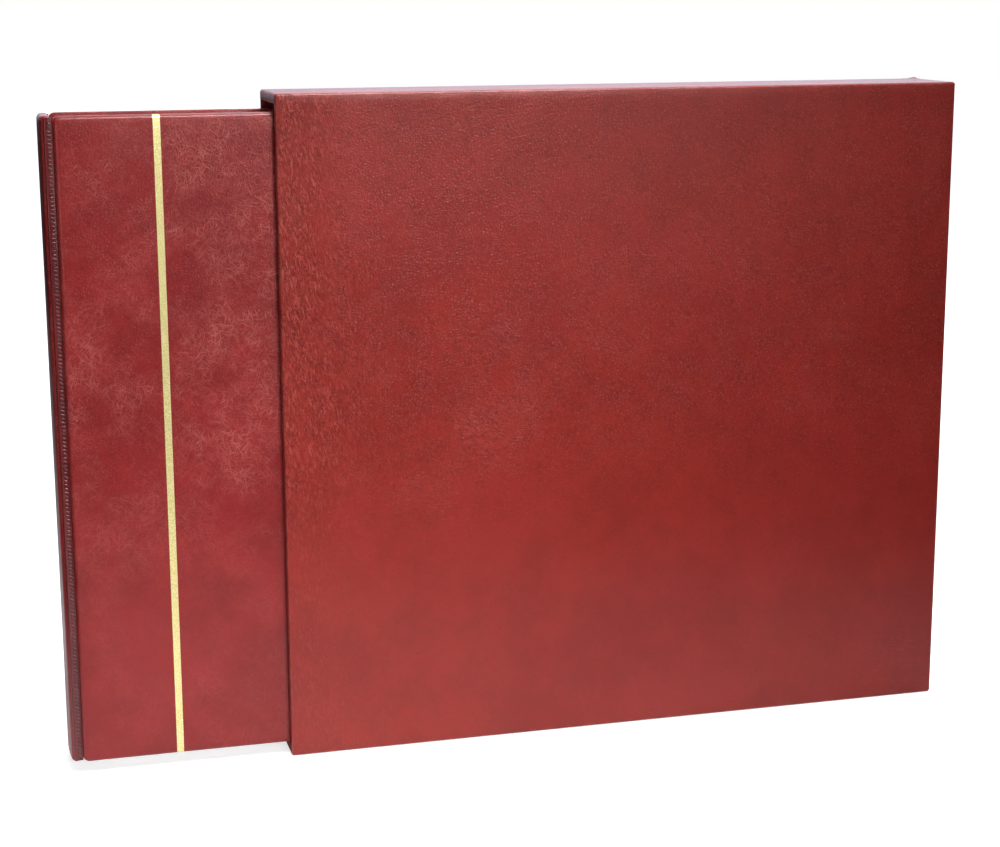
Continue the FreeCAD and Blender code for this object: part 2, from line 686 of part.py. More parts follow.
def punched_sheet(label, front_y, width, thickness):
    """A bar or a leaf: a rectangle with the row of post holes."""
    body = new_body(label, (LEAF_LEFT, front_y, LEAF_BASE))
    outline = new_sketch(body, f"{label}_outline", "XZ_Plane")
    add_rectangle(outline, "sheet", "0", "0", width, LEAF_HEIGHT)
    add_post_holes(outline)
    add_pad(body, outline, f"{label}_sheet", thickness, backwards=True)
    return body


def make_leaves():
    """The pair of flyleaves, and the leaves, each with a fold line beside its bound margin."""
    flyleaves = doc.addObject("Part::Compound", "flyleaves")
    flyleaves.Links = [
        punched_sheet("front_flyleaf", f"-{STACK_HALF}", LEAF_WIDTH, "sizes.flyleaf"),
        punched_sheet("rear_flyleaf", LEAVES_HALF, LEAF_WIDTH, "sizes.flyleaf"),
    ]
    keep(flyleaves, "flyleaves")
    for index in range(leaf_count):
        label = f"leaf_{index + 1:02d}"
        front_y = f"-{LEAVES_HALF} + {index} * {LEAF_PITCH} + sizes.leaf_spacing"
        body = keep(punched_sheet(label, front_y, LEAF_WIDTH, "sizes.leaf_thick"), label)
        score = new_sketch(body, f"{label}_score_outline", "XZ_Plane")
        add_rectangle(score, "score", "sizes.score_from_edge", "0", "sizes.score_width", LEAF_HEIGHT)
        add_pocket(body, score, f"{label}_score", "sizes.score_depth")


def repeat_per_leaf(body, pad, name):
    """Repeat a pad once for every leaf."""
    pattern = body.newObject("PartDesign::LinearPattern", name)
    pattern.Originals = [pad]
    pattern.Direction = (origin_feature(body, "Y_Axis"), [""])
    pattern.Occurrences = leaf_count
    pattern.setExpression("Length", f"(sizes.leaf_count - 1) * {LEAF_PITCH}")
    body.Tip = pattern
    doc.recompute()


def make_strips_and_glassine():
    """Clear strips on the front of every leaf, and a glassine sheet in front of them."""
    strips_y = f"-{LEAVES_HALF} + sizes.leaf_spacing - sizes.strip_film"
    strips = new_body("mount_strips", (LEAF_LEFT, strips_y, LEAF_BASE))
    keep(strips, "mount_strips")
    strips.AllowCompound = True
    rows = new_sketch(strips, "strip_rows_outline", "XZ_Plane")
    row_count = int(size["strip_rows"])
    row_step = f"(({LEAF_HEIGHT} - 2 * sizes.strip_margin + sizes.strip_gap) / sizes.strip_rows)"
    left = "sizes.score_from_edge + sizes.strip_margin"
    width = f"{LEAF_WIDTH} - sizes.score_from_edge - 2 * sizes.strip_margin"
    for index in range(row_count):
        low = f"sizes.strip_margin + {index} * {row_step}"
        add_rectangle(rows, f"row_{index}", left, low, width, f"{row_step} - sizes.strip_gap")
    pad = add_pad(strips, rows, "strip_film_pad", "sizes.strip_film", backwards=True)
    repeat_per_leaf(strips, pad, "strips_per_leaf")

    sheets = new_body("glassine_interleaves", (LEAF_LEFT, f"-{LEAVES_HALF}", LEAF_BASE))
    keep(sheets, "glassine_interleaves")
    sheets.AllowCompound = True
    outline = new_sketch(sheets, "glassine_outline", "XZ_Plane")
    add_rectangle(outline, "glassine", "sizes.bar_width", "sizes.glassine_margin",
                  f"{LEAF_WIDTH} - sizes.bar_width - sizes.glassine_margin",
                  f"{LEAF_HEIGHT} - 2 * sizes.glassine_margin")
    pad = add_pad(sheets, outline, "glassine_pad", "sizes.glassine", backwards=True)
    repeat_per_leaf(sheets, pad, "glassine_per_leaf")


def make_binding_bars():
    """Steel bars that clamp the leaves, and the cloth that hinges each bar to its cover."""
    for side, bar_y in (("front", f"-{BAR_OUTSIDE}"), ("rear", STACK_HALF)):
        label = f"{side}_binding_bar"
        keep(punched_sheet(label, bar_y, "sizes.bar_width", "sizes.bar_thick"), label)
    cloth_left = f"{LEAF_LEFT} - sizes.cloth_overhang"
    cloth_right = f"({POST_LINE} - sizes.head_diameter / 2 - sizes.cloth_clearance)"
    cloth_width = f"{cloth_right} - ({cloth_left})"
    cloth_deep = f"({COVER_INSIDE} - {BAR_OUTSIDE})"
    for side, low_y in (("front", f"-{COVER_INSIDE}"), ("rear", BAR_OUTSIDE)):
        label = f"{side}_hinge_cloth"
        folded = make_box(
            f"{label}_folded", (cloth_left, low_y, LEAF_BASE), (cloth_width, cloth_deep, LEAF_HEIGHT)
        )
        fold = make_box(
            f"{label}_fold",
            (f"{cloth_left} + sizes.cloth_thick", f"{low_y} + sizes.cloth_thick", LEAF_BASE),
            (cloth_width, f"{cloth_deep} - 2 * sizes.cloth_thick", LEAF_HEIGHT),
        )
        keep(cut_away(label, folded, fold), label)


def make_post_barrel(index):
    """One flanged barrel: its flange outside the rear bar, its open end at the front bar."""
    up = f"{LEAF_BASE} + sizes.post_end + {index} * {POST_STEP}"
    shank_start = f"-{BAR_OUTSIDE}"
    shank = make_rod(f"barrel_{index}_shank", (POST_LINE, shank_start, up),
                     "sizes.post_diameter", f"2 * {BAR_OUTSIDE}")
    flange = make_rod(f"barrel_{index}_flange", (POST_LINE, BAR_OUTSIDE, up),
                      "sizes.head_diameter", "sizes.head_thick")
    bore = make_rod(f"barrel_{index}_bore", (POST_LINE, shank_start, up),
                    "sizes.post_bore", "sizes.screw_length + sizes.bar_thick")
    return cut_away(f"barrel_{index}", join(f"barrel_{index}_solid", [shank, flange]), bore)


def make_post_screw(index):
    """One slotted screw: its head outside the front bar, its shank in the barrel."""
    up = f"{LEAF_BASE} + sizes.post_end + {index} * {POST_STEP}"
    head_y = f"-({BAR_OUTSIDE} + sizes.head_thick)"
    head = make_rod(f"screw_{index}_head", (POST_LINE, head_y, up),
                    "sizes.head_diameter", "sizes.head_thick")
    shank = make_rod(f"screw_{index}_shank", (POST_LINE, f"-{BAR_OUTSIDE}", up),
                     "sizes.screw_shank", "sizes.screw_length")
    slot = make_box(
        f"screw_{index}_slot",
        (f"{POST_LINE} - sizes.head_diameter", head_y, f"{up} - sizes.slot_width / 2"),
        ("2 * sizes.head_diameter", "sizes.slot_depth", "sizes.slot_width"),
    )
    return cut_away(f"screw_{index}", join(f"screw_{index}_solid", [head, shank]), slot)


def make_posts():
    """The barrels as one group and the screws as another."""
    for label, make_one in (("post_barrels", make_post_barrel), ("post_screws", make_post_screw)):
        group = doc.addObject("Part::Compound", label)
        group.Links = [make_one(index) for index in range(post_count)]
        keep(group, label)


# ---------------------------------------------------------------- build, check and write
make_case_boards()
make_case_skins()
make_case_linings()
make_cover("front")
make_cover("rear")
make_gold_stripe()
make_spine()
make_hinge_seams()
make_binding_bars()
make_posts()
make_leaves()
make_strips_and_glassine()
doc.recompute()

for item in doc.Objects:
    if "Invalid" in item.State or "Error" in item.State:
        raise RuntimeError(f"{item.Label} did not recompute: {item.State}")
for node in node_list:
    if node.Shape.isNull() or not node.Shape.isValid():
        raise RuntimeError(f"{node.Label} has no valid shape")

os.makedirs(OUT_DIR, exist_ok=True)
for node in node_list:
    node.Shape.exportStep(os.path.join(OUT_DIR, f"{node.Label}.step"))
print(len(node_list), "nodes written,", leaf_count, "leaves")
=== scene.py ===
"""Stamp album in padded burgundy leatherette, drawn part of the way out of its slipcase.

Metres, +Z up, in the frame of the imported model: the slipcase stands on z = 0 with its mouth
towards -X, and the front faces look towards -Y.
"""
import math
from collections import namedtuple
from functools import partial

import bmesh
import bpy
from mathutils import Matrix, Vector, noise


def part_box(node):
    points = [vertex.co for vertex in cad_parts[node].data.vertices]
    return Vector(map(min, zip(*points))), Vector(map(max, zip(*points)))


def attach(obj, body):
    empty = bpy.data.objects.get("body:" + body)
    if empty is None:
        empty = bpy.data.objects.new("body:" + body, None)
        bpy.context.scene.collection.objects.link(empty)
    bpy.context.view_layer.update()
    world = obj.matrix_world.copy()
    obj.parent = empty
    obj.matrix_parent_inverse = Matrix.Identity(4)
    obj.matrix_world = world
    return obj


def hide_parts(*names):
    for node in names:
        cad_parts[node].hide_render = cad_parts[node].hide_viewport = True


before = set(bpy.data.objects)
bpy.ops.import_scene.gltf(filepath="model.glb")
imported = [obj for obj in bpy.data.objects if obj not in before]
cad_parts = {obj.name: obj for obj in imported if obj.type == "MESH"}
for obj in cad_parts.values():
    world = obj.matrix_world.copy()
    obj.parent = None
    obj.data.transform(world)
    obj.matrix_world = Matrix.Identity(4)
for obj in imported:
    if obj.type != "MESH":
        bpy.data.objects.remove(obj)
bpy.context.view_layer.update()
boxes = {name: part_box(name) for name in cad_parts}

MM = 0.001
WELD = 0.002 * MM
HALF_PI = math.pi / 2

# ---------------------------------------------------------------- sizes of the trade
SKIN = 0.5 * MM            # leatherette
BOARD_EASE = 0.8 * MM      # sanded edge of a board
CASE_ROUND = 1.3 * MM      # leatherette drawn over a slipcase's edge
CASE_TURN_IN = 14 * MM
CASE_CORNER = 0.4 * MM     # what the outer corners keep beyond that roll
MOUTH_CORNER = 0.3 * MM    # corners of the covering inside the mouth
CASE_BOW = 0.16 * MM       # slow waves of the slipcase's faces
CASE_RIPPLE = 0.045 * MM   # and the small ones on them
BOW_REACH = 12 * MM        # how far in from an edge they have their full depth
OUTER_SHARE = 0.3 * MM     # how deep a point may lie and still belong to an outer face
PINCH = 0.9 * MM           # leatherette gathered at the closed end's top rear corner
PINCH_REACH = 4 * MM
SAG_REACH = 8 * MM         # a pad's sag falls to about a third over this length inwards
SWELL = 0.13 * MM          # slow swells of a pad
SWELL_RIPPLE = 0.035 * MM  # and the small ones on them
SWELL_SINK = 0.04 * MM     # how far their middle lies below the face
SWELL_REACH = 10 * MM      # how far in from a cover's edge they have their full height
SPINE_CROWN = 0.8 * MM
FOAM_GAP = 0.05 * MM       # foam to the inside of its leatherette
FOAM_LEAST = 0.05 * MM     # foam left where the roll meets the board
FOIL = 0.05 * MM
FOIL_WRAP = 2.2 * MM       # foil carried on over the head and tail of the cover
SEAM_GAP = 0.7 * MM        # a weld's ends to the spine's
RIB_PITCH = 1.85 * MM
RIB_LENGTH = 2.7 * MM
RIB_WIDTH = 0.95 * MM
RIB_HEIGHT = 0.62 * MM
RIB_SLANT = math.radians(14)
RIB_FALL = math.radians(9)
RIB_PLACE = (-1.75 * MM, 0.42 * MM)   # from the cover's edge, and out of the spine's wall
RIB_FREE = 2 * MM          # length of a weld that the ribs leave free

# ---------------------------------------------------------------- how fine the meshes are
TURN_STEPS = 6             # faces round a corner
ROLL_STEPS = 8             # faces round the roll of an edge
FOIL_STEPS = 4             # faces across the foil
PITCH = 3.4 * MM           # faces along a flat
CASE_PITCH = 4 * MM        # faces along the slipcase
SEAM_PITCH = 6 * MM        # faces along a weld
SHARP_ANGLE = math.radians(50)
ROLL_ANGLES = tuple(HALF_PI * step / ROLL_STEPS for step in range(ROLL_STEPS + 1))

WHITE = (1.0, 1.0, 1.0, 1.0)
BLACK = (0.0, 0.0, 0.0, 1.0)
DIM = (0.02, 0.02, 0.022, 1.0)


# ---------------------------------------------------------------- building meshes
class Shell:
    """Points and faces of a piece while it is being built."""

    def __init__(self):
        self.points = []
        self.faces = []

    def loft(self, loops):
        """Faces from each closed loop of points to the next; returns the loops' point numbers."""
        rings = []
        for points in loops:
            first = len(self.points)
            self.points.extend(points)
            rings.append(range(first, len(self.points)))
        for near, far in zip(rings, rings[1:]):
            for index in range(len(near)):
                after = (index + 1) % len(near)
                self.faces.append((near[index], near[after], far[after], far[index]))
        return rings

    def grid(self, rows):
        """Faces over a grid of points given row by row."""
        first = len(self.points)
        width = len(rows[0])
        for row in rows:
            self.points.extend(row)
        for high in range(len(rows) - 1):
            for wide in range(width - 1):
                corner = first + high * width + wide
                self.faces.append((corner, corner + 1, corner + width + 1, corner + width))

    def build(self, name):
        """The finished object: doubles welded, empty faces dropped, faces pointing outwards."""
        mesh = bpy.data.meshes.new(name)
        mesh.from_pydata(self.points, [], self.faces)
        work = bmesh.new()
        work.from_mesh(mesh)
        bmesh.ops.remove_doubles(work, verts=work.verts, dist=WELD)
        bmesh.ops.dissolve_degenerate(work, edges=work.edges, dist=WELD)
        bmesh.ops.recalc_face_normals(work, faces=work.faces)
        work.to_mesh(mesh)
        work.free()
        return add_object(name, mesh)


def add_object(name, data):
    """Link a mesh, light or camera into the scene as an object."""
    item = bpy.data.objects.new(name, data)
    bpy.context.scene.collection.objects.link(item)
    return item


def blend_between(low, high, share):
    """The number that lies a share of the way from low to high."""
    return low + (high - low) * share


def held(value):
    """A number kept from 0 to 1."""
    return min(1.0, max(0.0, value))


def rounded_ring(low, high, radius, counts):
    """A rounded rectangle as (across, up) pairs, the same number of points at any size."""
    radius = max(radius, 0.0)
    across, up = counts
    sides = (
        ((low[0] + radius, low[1]), (high[0] - radius, low[1]), across),
        ((high[0], low[1] + radius), (high[0], high[1] - radius), up),
        ((high[0] - radius, high[1]), (low[0] + radius, high[1]), across),
        ((low[0], high[1] - radius), (low[0], low[1] + radius), up),
    )
    centres = (
        (high[0] - radius, low[1] + radius),
        (high[0] - radius, high[1] - radius),
        (low[0] + radius, high[1] - radius),
        (low[0] + radius, low[1] + radius),
    )
    pairs = []
    for side, ((start, end, count), centre) in enumerate(zip(sides, centres)):
        for step in range(count + 1):
            pairs.append(tuple(blend_between(a, b, step / count) for a, b in zip(start, end)))
        for step in range(1, TURN_STEPS):
            angle = HALF_PI * (side - 1 + step / TURN_STEPS)
            pairs.append(
                (centre[0] + radius * math.cos(angle), centre[1] + radius * math.sin(angle))
            )
    return pairs


def make_panel(name, low, high, path, spot, closed_start=False):
    """A form built from loops round a rounded rectangle.

    low and high are its (across, up) corners.  path lists (inset across, inset up, corner radius,
    depth) from its rim to its face, and the last loop, which is square, is filled.  spot turns
    (across, up, depth) into a point in space.
    """
    counts = tuple(
        max(2, round((high[axis] - low[axis] - 2 * path[-1][axis]) / PITCH)) for axis in (0, 1)
    )
    shell = Shell()
    loops = []
    for inset_across, inset_up, radius, depth in path:
        pairs = rounded_ring(
            (low[0] + inset_across, low[1] + inset_up),
            (high[0] - inset_across, high[1] - inset_up),
            radius, counts,
        )
        loops.append([spot(across, up, depth) for across, up in pairs])
    shell.loft(loops)
    fills = path[-1:] + path[:1] if closed_start else path[-1:]
    for inset_across, inset_up, _, depth in fills:
        rows = []
        for high_step in range(counts[1] + 1):
            up = blend_between(low[1] + inset_up, high[1] - inset_up, high_step / counts[1])
            row = []
            for wide_step in range(counts[0] + 1):
                share = wide_step / counts[0]
                across = blend_between(low[0] + inset_across, high[0] - inset_across, share)
                row.append(spot(across, up, depth))
            rows.append(row)
        shell.grid(rows)
    return shell.build(name)


def settle(item):
    """Turn an object's live modifiers into plain mesh."""
    graph = bpy.context.evaluated_depsgraph_get()
    made = bpy.data.meshes.new_from_object(item.evaluated_get(graph))
    item.modifiers.clear()
    item.data = made


def thicken(item, thickness, side=-1.0):
    """Give a sheet its thickness, inwards unless side says otherwise."""
    wall = item.modifiers.new("thickness", "SOLIDIFY")
    wall.thickness = thickness
    wall.offset = side
    wall.use_even_offset = True
    settle(item)


def mark_edges(item):
    """Write how strongly each point lies on a rounded edge, for wear."""
    mark = item.data.attributes.new("edge", "FLOAT", "POINT")
    for vertex in item.data.vertices:
        flatness = max(abs(part) for part in vertex.normal)
        mark.data[vertex.index].value = min(1.0, (1 - flatness) * 4)


def finish_piece(item, body, material, replaced):
    """Material, smooth shading, edge marks, body, slot and the solids that the piece stands for."""
    item.data.materials.clear()
    item.data.materials.append(material)
    for face in item.data.polygons:
        face.use_smooth = True
    mark_edges(item)
    item.data.set_sharp_from_angle(angle=SHARP_ANGLE)
    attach(item, body)
    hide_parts(*replaced)


# ---------------------------------------------------------------- shader helpers
def feed(tree, node, wires):
    """Link each of these inputs of a node to a socket, or set it to a value."""
    for key, value in wires.items():
        if isinstance(value, bpy.types.NodeSocket):
            tree.links.new(value, node.inputs[key])
        else:
            node.inputs[key].default_value = value


def wire(tree, kind, wires=None, **settings):
    """A new node with its settings and its inputs."""
    made = tree.nodes.new(kind)
    for key, value in settings.items():
        setattr(made, key, value)
    feed(tree, made, wires or {})
    return made


def maths(tree, operation, first, second=0.0, third=0.0):
    """The result of one Math node."""
    made = wire(tree, "ShaderNodeMath", {0: first, 1: second, 2: third}, operation=operation)
    return made.outputs[0]


def between(tree, value, low, high, bottom=0.0, top=1.0):
    """value mapped from low..high to bottom..top, and held there."""
    made = wire(
        tree, "ShaderNodeMapRange",
        {"Value": value, "From Min": low, "From Max": high, "To Min": bottom, "To Max": top},
        interpolation_type="SMOOTHSTEP",
    )
    return made.outputs["Result"]


def mixed(tree, share, first, second):
    """Two colours mixed by a share."""
    made = wire(tree, "ShaderNodeMix", {0: share, 6: first, 7: second}, data_type="RGBA")
    return made.outputs[2]


def mixed_value(tree, share, first, second):
    """Two values mixed by a share."""
    return wire(tree, "ShaderNodeMix", {0: share, 2: first, 3: second}).outputs[0]


def noise_value(tree, vector, scale, detail=2.0, roughness=0.5, distortion=0.0):
    """A noise texture's value."""
    made = wire(
        tree, "ShaderNodeTexNoise",
        {"Vector": vector, "Scale": scale, "Detail": detail, "Roughness": roughness,
         "Distortion": distortion},
    )
    return made.outputs["Fac"]


def vector_maths(tree, operation, first, second):
    """The result of one Vector Math node."""
    made = wire(tree, "ShaderNodeVectorMath", {0: first, 1: second}, operation=operation)
    return made.outputs[0]


def turned(tree, vector, about_y=0.0, scale=(1.0, 1.0, 1.0)):
    """A vector turned about Y and stretched by a Mapping node."""
    made = wire(
        tree, "ShaderNodeMapping",
        {"Vector": vector, "Rotation": (0.0, about_y, 0.0), "Scale": scale},
    )
    return made.outputs["Vector"]


def swayed(tree, vector, scale, detail, reach):
    """A vector pushed to and fro by noise, so that what is drawn with it wavers."""
    sway = wire(tree, "ShaderNodeTexNoise", {"Vector": vector, "Scale": scale, "Detail": detail})
    push = wire(
        tree, "ShaderNodeVectorMath", {0: sway.outputs["Color"], 3: reach}, operation="SCALE"
    )
    return vector_maths(tree, "ADD", vector, push.outputs[0])


def drawn_by(tree, length):
    """The factors that draw a texture out along Z."""
    squash = maths(tree, "DIVIDE", 1.0, length)
    return wire(tree, "ShaderNodeCombineXYZ", {"X": 1.0, "Y": 1.0, "Z": squash}).outputs[0]


def leaning(tree, vector, lean, factors):
    """A vector turned to lean by so many degrees, then drawn out."""
    return vector_maths(tree, "MULTIPLY", turned(tree, vector, math.radians(lean)), factors)


def new_group(name, inputs, outputs):
    """A shader node group with its sockets: the tree, its input node and its output node."""
    tree = bpy.data.node_groups.new(name, "ShaderNodeTree")
    for key, kind, value in inputs:
        socket = tree.interface.new_socket(key, in_out="INPUT", socket_type=kind)
        if value is not None:
            socket.default_value = value
    for key, kind in outputs:
        tree.interface.new_socket(key, in_out="OUTPUT", socket_type=kind)
    return tree, tree.nodes.new("NodeGroupInput"), tree.nodes.new("NodeGroupOutput")


def use_group(tree, group, wires):
    """Place a group in a material with its own values."""
    return wire(tree, "ShaderNodeGroup", wires, node_tree=group)


FLOAT = "NodeSocketFloat"
VECTOR = "NodeSocketVector"


def make_grain_group():
    """Leather grain: pebbles, a net of creases between cells, and drawn wrinkles in patches.

    Beside the slipcase's mouth Edge Pull sets the wrinkles upright. Crest and Crease mark where the
    colour gets a painted highlight and painted shade; these and the relief fade towards the foot,
    as the light from above does, and the last output carries that fade, falling towards the foot.
    """
    tree, given, result = new_group(
        "leather_grain",
        (("Vector", VECTOR, None), ("Pebbles", FLOAT, 1000.0), ("Crinkles", FLOAT, 500.0),
         ("Wrinkle Cover", FLOAT, 0.5), ("Stretch", FLOAT, 3.0), ("Edge Pull", FLOAT, 0.0)),
        (("Height", FLOAT), ("Crest", FLOAT), ("Crease", FLOAT), ("Light And Relief Fade", FLOAT)),
    )
    place = given.outputs["Vector"]
    part = wire(tree, "ShaderNodeSeparateXYZ", {"Vector": place})
    pebble = wire(
        tree, "ShaderNodeTexVoronoi", {"Vector": place, "Scale": given.outputs["Pebbles"]},
        feature="SMOOTH_F1",
    )
    pebble_height = between(tree, pebble.outputs["Distance"], 0.0, 0.8, 1.0, 0.0)

    bent = swayed(tree, place, 420.0, 2.0, 0.0014)
    mouth = between(tree, part.outputs["X"], -0.165, -0.105, 1.0, 0.0)
    inner = maths(tree, "MULTIPLY", mouth, given.outputs["Edge Pull"])
    factors = drawn_by(tree, given.outputs["Stretch"])
    way = between(tree, noise_value(tree, place, 11.0, 1.0), 0.44, 0.56)
    way = maths(tree, "MULTIPLY", way, maths(tree, "SUBTRACT", 1.0, inner))
    fine = maths(tree, "MULTIPLY", given.outputs["Crinkles"], 1.35)
    runs = []
    for lean in (12, 74):
        fold = noise_value(tree, leaning(tree, bent, lean, factors), fine, 2.0, 0.6, 0.3)
        away = maths(tree, "ABSOLUTE", maths(tree, "SUBTRACT", fold, 0.5))
        runs.append(maths(tree, "MULTIPLY", away, 2.7))
    pulled = mixed_value(tree, way, *runs)
    net = wire(
        tree, "ShaderNodeTexVoronoi", {"Vector": bent, "Scale": given.outputs["Crinkles"]},
        feature="DISTANCE_TO_EDGE",
    )
    cover = maths(tree, "SUBTRACT", 1.0, given.outputs["Wrinkle Cover"])
    patch_low = maths(tree, "MULTIPLY_ADD", cover, 0.40, 0.26)
    patch_high = maths(tree, "ADD", patch_low, 0.34)
    patch = between(tree, noise_value(tree, place, 10.0, 4.0, 0.6), patch_low, patch_high)
    patch = maths(tree, "MAXIMUM", patch, inner)
    cells = mixed_value(tree, patch, net.outputs["Distance"], pulled)
    # painted light: the painted highlight and shade of the grain, and its relief, fade towards the
    # foot, as the light from above does
    light_and_relief_fade = between(tree, part.outputs["Z"], 0.085, 0.175, 0.22, 1.0)
    uneven = between(tree, noise_value(tree, place, 90.0, 3.0, 0.6), 0.35, 0.62, 0.5, 1.0)
    deep = maths(tree, "MULTIPLY", maths(tree, "MULTIPLY_ADD", patch, 0.58, 0.42), light_and_relief_fade)
    deep = maths(tree, "MULTIPLY", deep, uneven)
    # crest: where the colour gets a painted highlight; crease: where it gets painted shade
    crest = between(tree, cells, 0.10, 0.50)
    crease = between(tree, cells, 0.0, 0.15, 1.0, 0.0)
    swelling = maths(tree, "MULTIPLY", between(tree, cells, 0.0, 0.30), deep)
    height = maths(tree, "MULTIPLY_ADD", pebble_height, 0.22, swelling)
    feed(tree, result, {
        "Height": height, "Crest": maths(tree, "MULTIPLY", crest, deep),
        "Crease": maths(tree, "MULTIPLY", crease, deep), "Light And Relief Fade": light_and_relief_fade,
    })
    return tree


def make_scuff_group():
    """Hair-fine rub marks that run every way, denser in patches; the leatherette draws them
    lighter, partly as rubbing and partly as painted glints of the light.
    """
    tree, given, result = new_group(
        "rub_marks",
        (("Vector", VECTOR, None), ("Fineness", FLOAT, 1500.0), ("Length", FLOAT, 14.0),
         ("Cover", FLOAT, 0.5)),
        (("Marks", FLOAT), ("Cloud", FLOAT)),
    )
    place = given.outputs["Vector"]
    curved = swayed(tree, place, 70.0, 1.0, 0.0012)
    factors = drawn_by(tree, given.outputs["Length"])
    total = None
    for lean in (8, 33, 58, 84, 112, 137, 165):
        drawn = leaning(tree, curved, lean, factors)
        shifted = vector_maths(tree, "ADD", drawn, (lean * 0.01, 0.0, lean * 0.003))
        streak = noise_value(tree, shifted, given.outputs["Fineness"], 1.0, 0.4)
        mark = between(tree, streak, 0.60, 0.74)
        total = mark if total is None else maths(tree, "MAXIMUM", total, mark)
    cloud_noise = noise_value(tree, place, 34.0, 5.0, 0.68)
    cover = maths(tree, "SUBTRACT", 1.0, given.outputs["Cover"])
    low = maths(tree, "MULTIPLY_ADD", cover, 0.4, 0.22)
    cloud = between(tree, cloud_noise, low, maths(tree, "ADD", low, 0.30))
    feed(tree, result, {"Marks": maths(tree, "MULTIPLY", total, cloud), "Cloud": cloud})
    return tree


def make_wear_group():
    """Rubbed edges, broken up by noise, from the marks written on the points."""
    tree, given, result = new_group(
        "edge_wear",
        (("Vector", VECTOR, None), ("Amount", FLOAT, 0.5)),
        (("Mask", FLOAT),),
    )
    edge = wire(tree, "ShaderNodeAttribute", attribute_name="edge")
    broken = noise_value(tree, given.outputs["Vector"], 130.0, 5.0, 0.7)
    raised = maths(tree, "MULTIPLY", edge.outputs["Fac"], between(tree, broken, 0.42, 0.66))
    feed(tree, result, {"Mask": maths(tree, "MULTIPLY", raised, given.outputs["Amount"])})
    return tree


def make_fibre_group():
    """Paper, board or foam: a cloudy body with short fibres."""
    tree, given, result = new_group(
        "fibres",
        (("Vector", VECTOR, None), ("Fineness", FLOAT, 900.0), ("Fibre", VECTOR, (1.0, 1.0, 6.0))),
        (("Height", FLOAT), ("Cloud", FLOAT)),
    )
    place = given.outputs["Vector"]
    drawn = vector_maths(tree, "DIVIDE", place, given.outputs["Fibre"])
    fibres = noise_value(tree, drawn, given.outputs["Fineness"], 3.0, 0.6)
    flecks = noise_value(tree, place, given.outputs["Fineness"], 4.0, 0.7)
    height = maths(tree, "MULTIPLY_ADD", fibres, 0.6, maths(tree, "MULTIPLY", flecks, 0.4))
    feed(tree, result, {"Height": height, "Cloud": noise_value(tree, place, 60.0, 4.0, 0.6)})
    return tree


def start_material(name):
    """A material with its Principled shader and the object's own coordinates."""
    material = bpy.data.materials.new(name)
    material.use_nodes = True
    tree = material.node_tree
    shader = tree.nodes["Principled BSDF"]
    place = wire(tree, "ShaderNodeTexCoord").outputs["Object"]
    return material, tree, shader, place


def set_shader(tree, shader, **values):
    """Feed the Principled shader, with underscores for the spaces in its inputs' names."""
    feed(tree, shader, {key.replace("_", " "): value for key, value in values.items()})


def add_bump(tree, shader, height, strength, distance):
    """Bump from a height, fed to the shader's normal."""
    made = wire(
        tree, "ShaderNodeBump", {"Height": height, "Strength": strength, "Distance": distance}
    )
    tree.links.new(made.outputs["Normal"], shader.inputs["Normal"])


def make_leatherette(name, groups, deep, body, rubbed_and_lit, looks):
    """Grained, softly coated leatherette: deep and body are its dyes; the third colour is its worn
    tone and also the painted highlight on grain crests and rub marks.
    """
    material, tree, shader, place = start_material(name)
    grain = use_group(tree, groups["grain"], {
        "Vector": place, "Pebbles": looks["pebbles"], "Crinkles": looks["crinkles"],
        "Wrinkle Cover": looks["wrinkle_cover"], "Stretch": looks["stretch"],
        "Edge Pull": looks["edge_pull"],
    })
    marks = use_group(tree, groups["scuff"], {
        "Vector": place, "Fineness": looks["fineness"], "Length": looks["length"],
        "Cover": looks["scuff_cover"],
    })
    wear = use_group(tree, groups["wear"], {"Vector": place, "Amount": looks["edge_wear"]})
    clouds = between(tree, noise_value(tree, place, 24.0, 6.0, 0.68), 0.36, 0.64)
    dyed = mixed(tree, clouds, deep, body)
    # painted shade: the creases of the grain are darkened towards this colour
    dark = tuple(0.30 * part for part in deep[:3]) + (1.0,)
    shade_in_creases = maths(tree, "MULTIPLY", grain.outputs["Crease"], looks["crease_shade"])
    dyed = mixed(tree, shade_in_creases, dyed, dark)
    # painted highlight: the crests of the grain are lightened towards the worn tone
    lit = maths(tree, "MULTIPLY", grain.outputs["Crest"], looks["crest_highlight"])
    dyed = mixed(tree, lit, dyed, rubbed_and_lit)
    # rub marks and their haze lightened: partly rubbing, partly painted glints and sheen, fading
    # towards the foot with the light from above
    haze_and_sheen = maths(tree, "MULTIPLY", marks.outputs["Cloud"], looks["haze_and_sheen"])
    rubbing = maths(tree, "MULTIPLY", marks.outputs["Marks"], grain.outputs["Light And Relief Fade"])
    scratches_and_glints = maths(tree, "MULTIPLY", rubbing, looks["scuff_and_glint_tone"])
    dyed = mixed(tree, maths(tree, "ADD", haze_and_sheen, scratches_and_glints), dyed, rubbed_and_lit)
    dyed = mixed(tree, wear.outputs["Mask"], dyed, rubbed_and_lit)
    rough = maths(
        tree, "MULTIPLY_ADD", grain.outputs["Crease"], looks["rough_spread"], looks["rough"]
    )
    rough = maths(tree, "MULTIPLY_ADD", wear.outputs["Mask"], 0.2, rough)
    coat = between(
        tree, noise_value(tree, place, 30.0, 3.0), 0.3, 0.7, looks["coat"] * 0.75, looks["coat"]
    )
    set_shader(
        tree, shader, Base_Color=dyed, Roughness=rough, Coat_Weight=coat,
        Coat_Roughness=looks["coat_rough"], Specular_IOR_Level=looks["specular"], Coat_IOR=1.45,
    )
    scratched = maths(tree, "MULTIPLY_ADD", rubbing, 0.25, grain.outputs["Height"])
    add_bump(tree, shader, scratched, looks["bump"], looks["relief"])
    return material


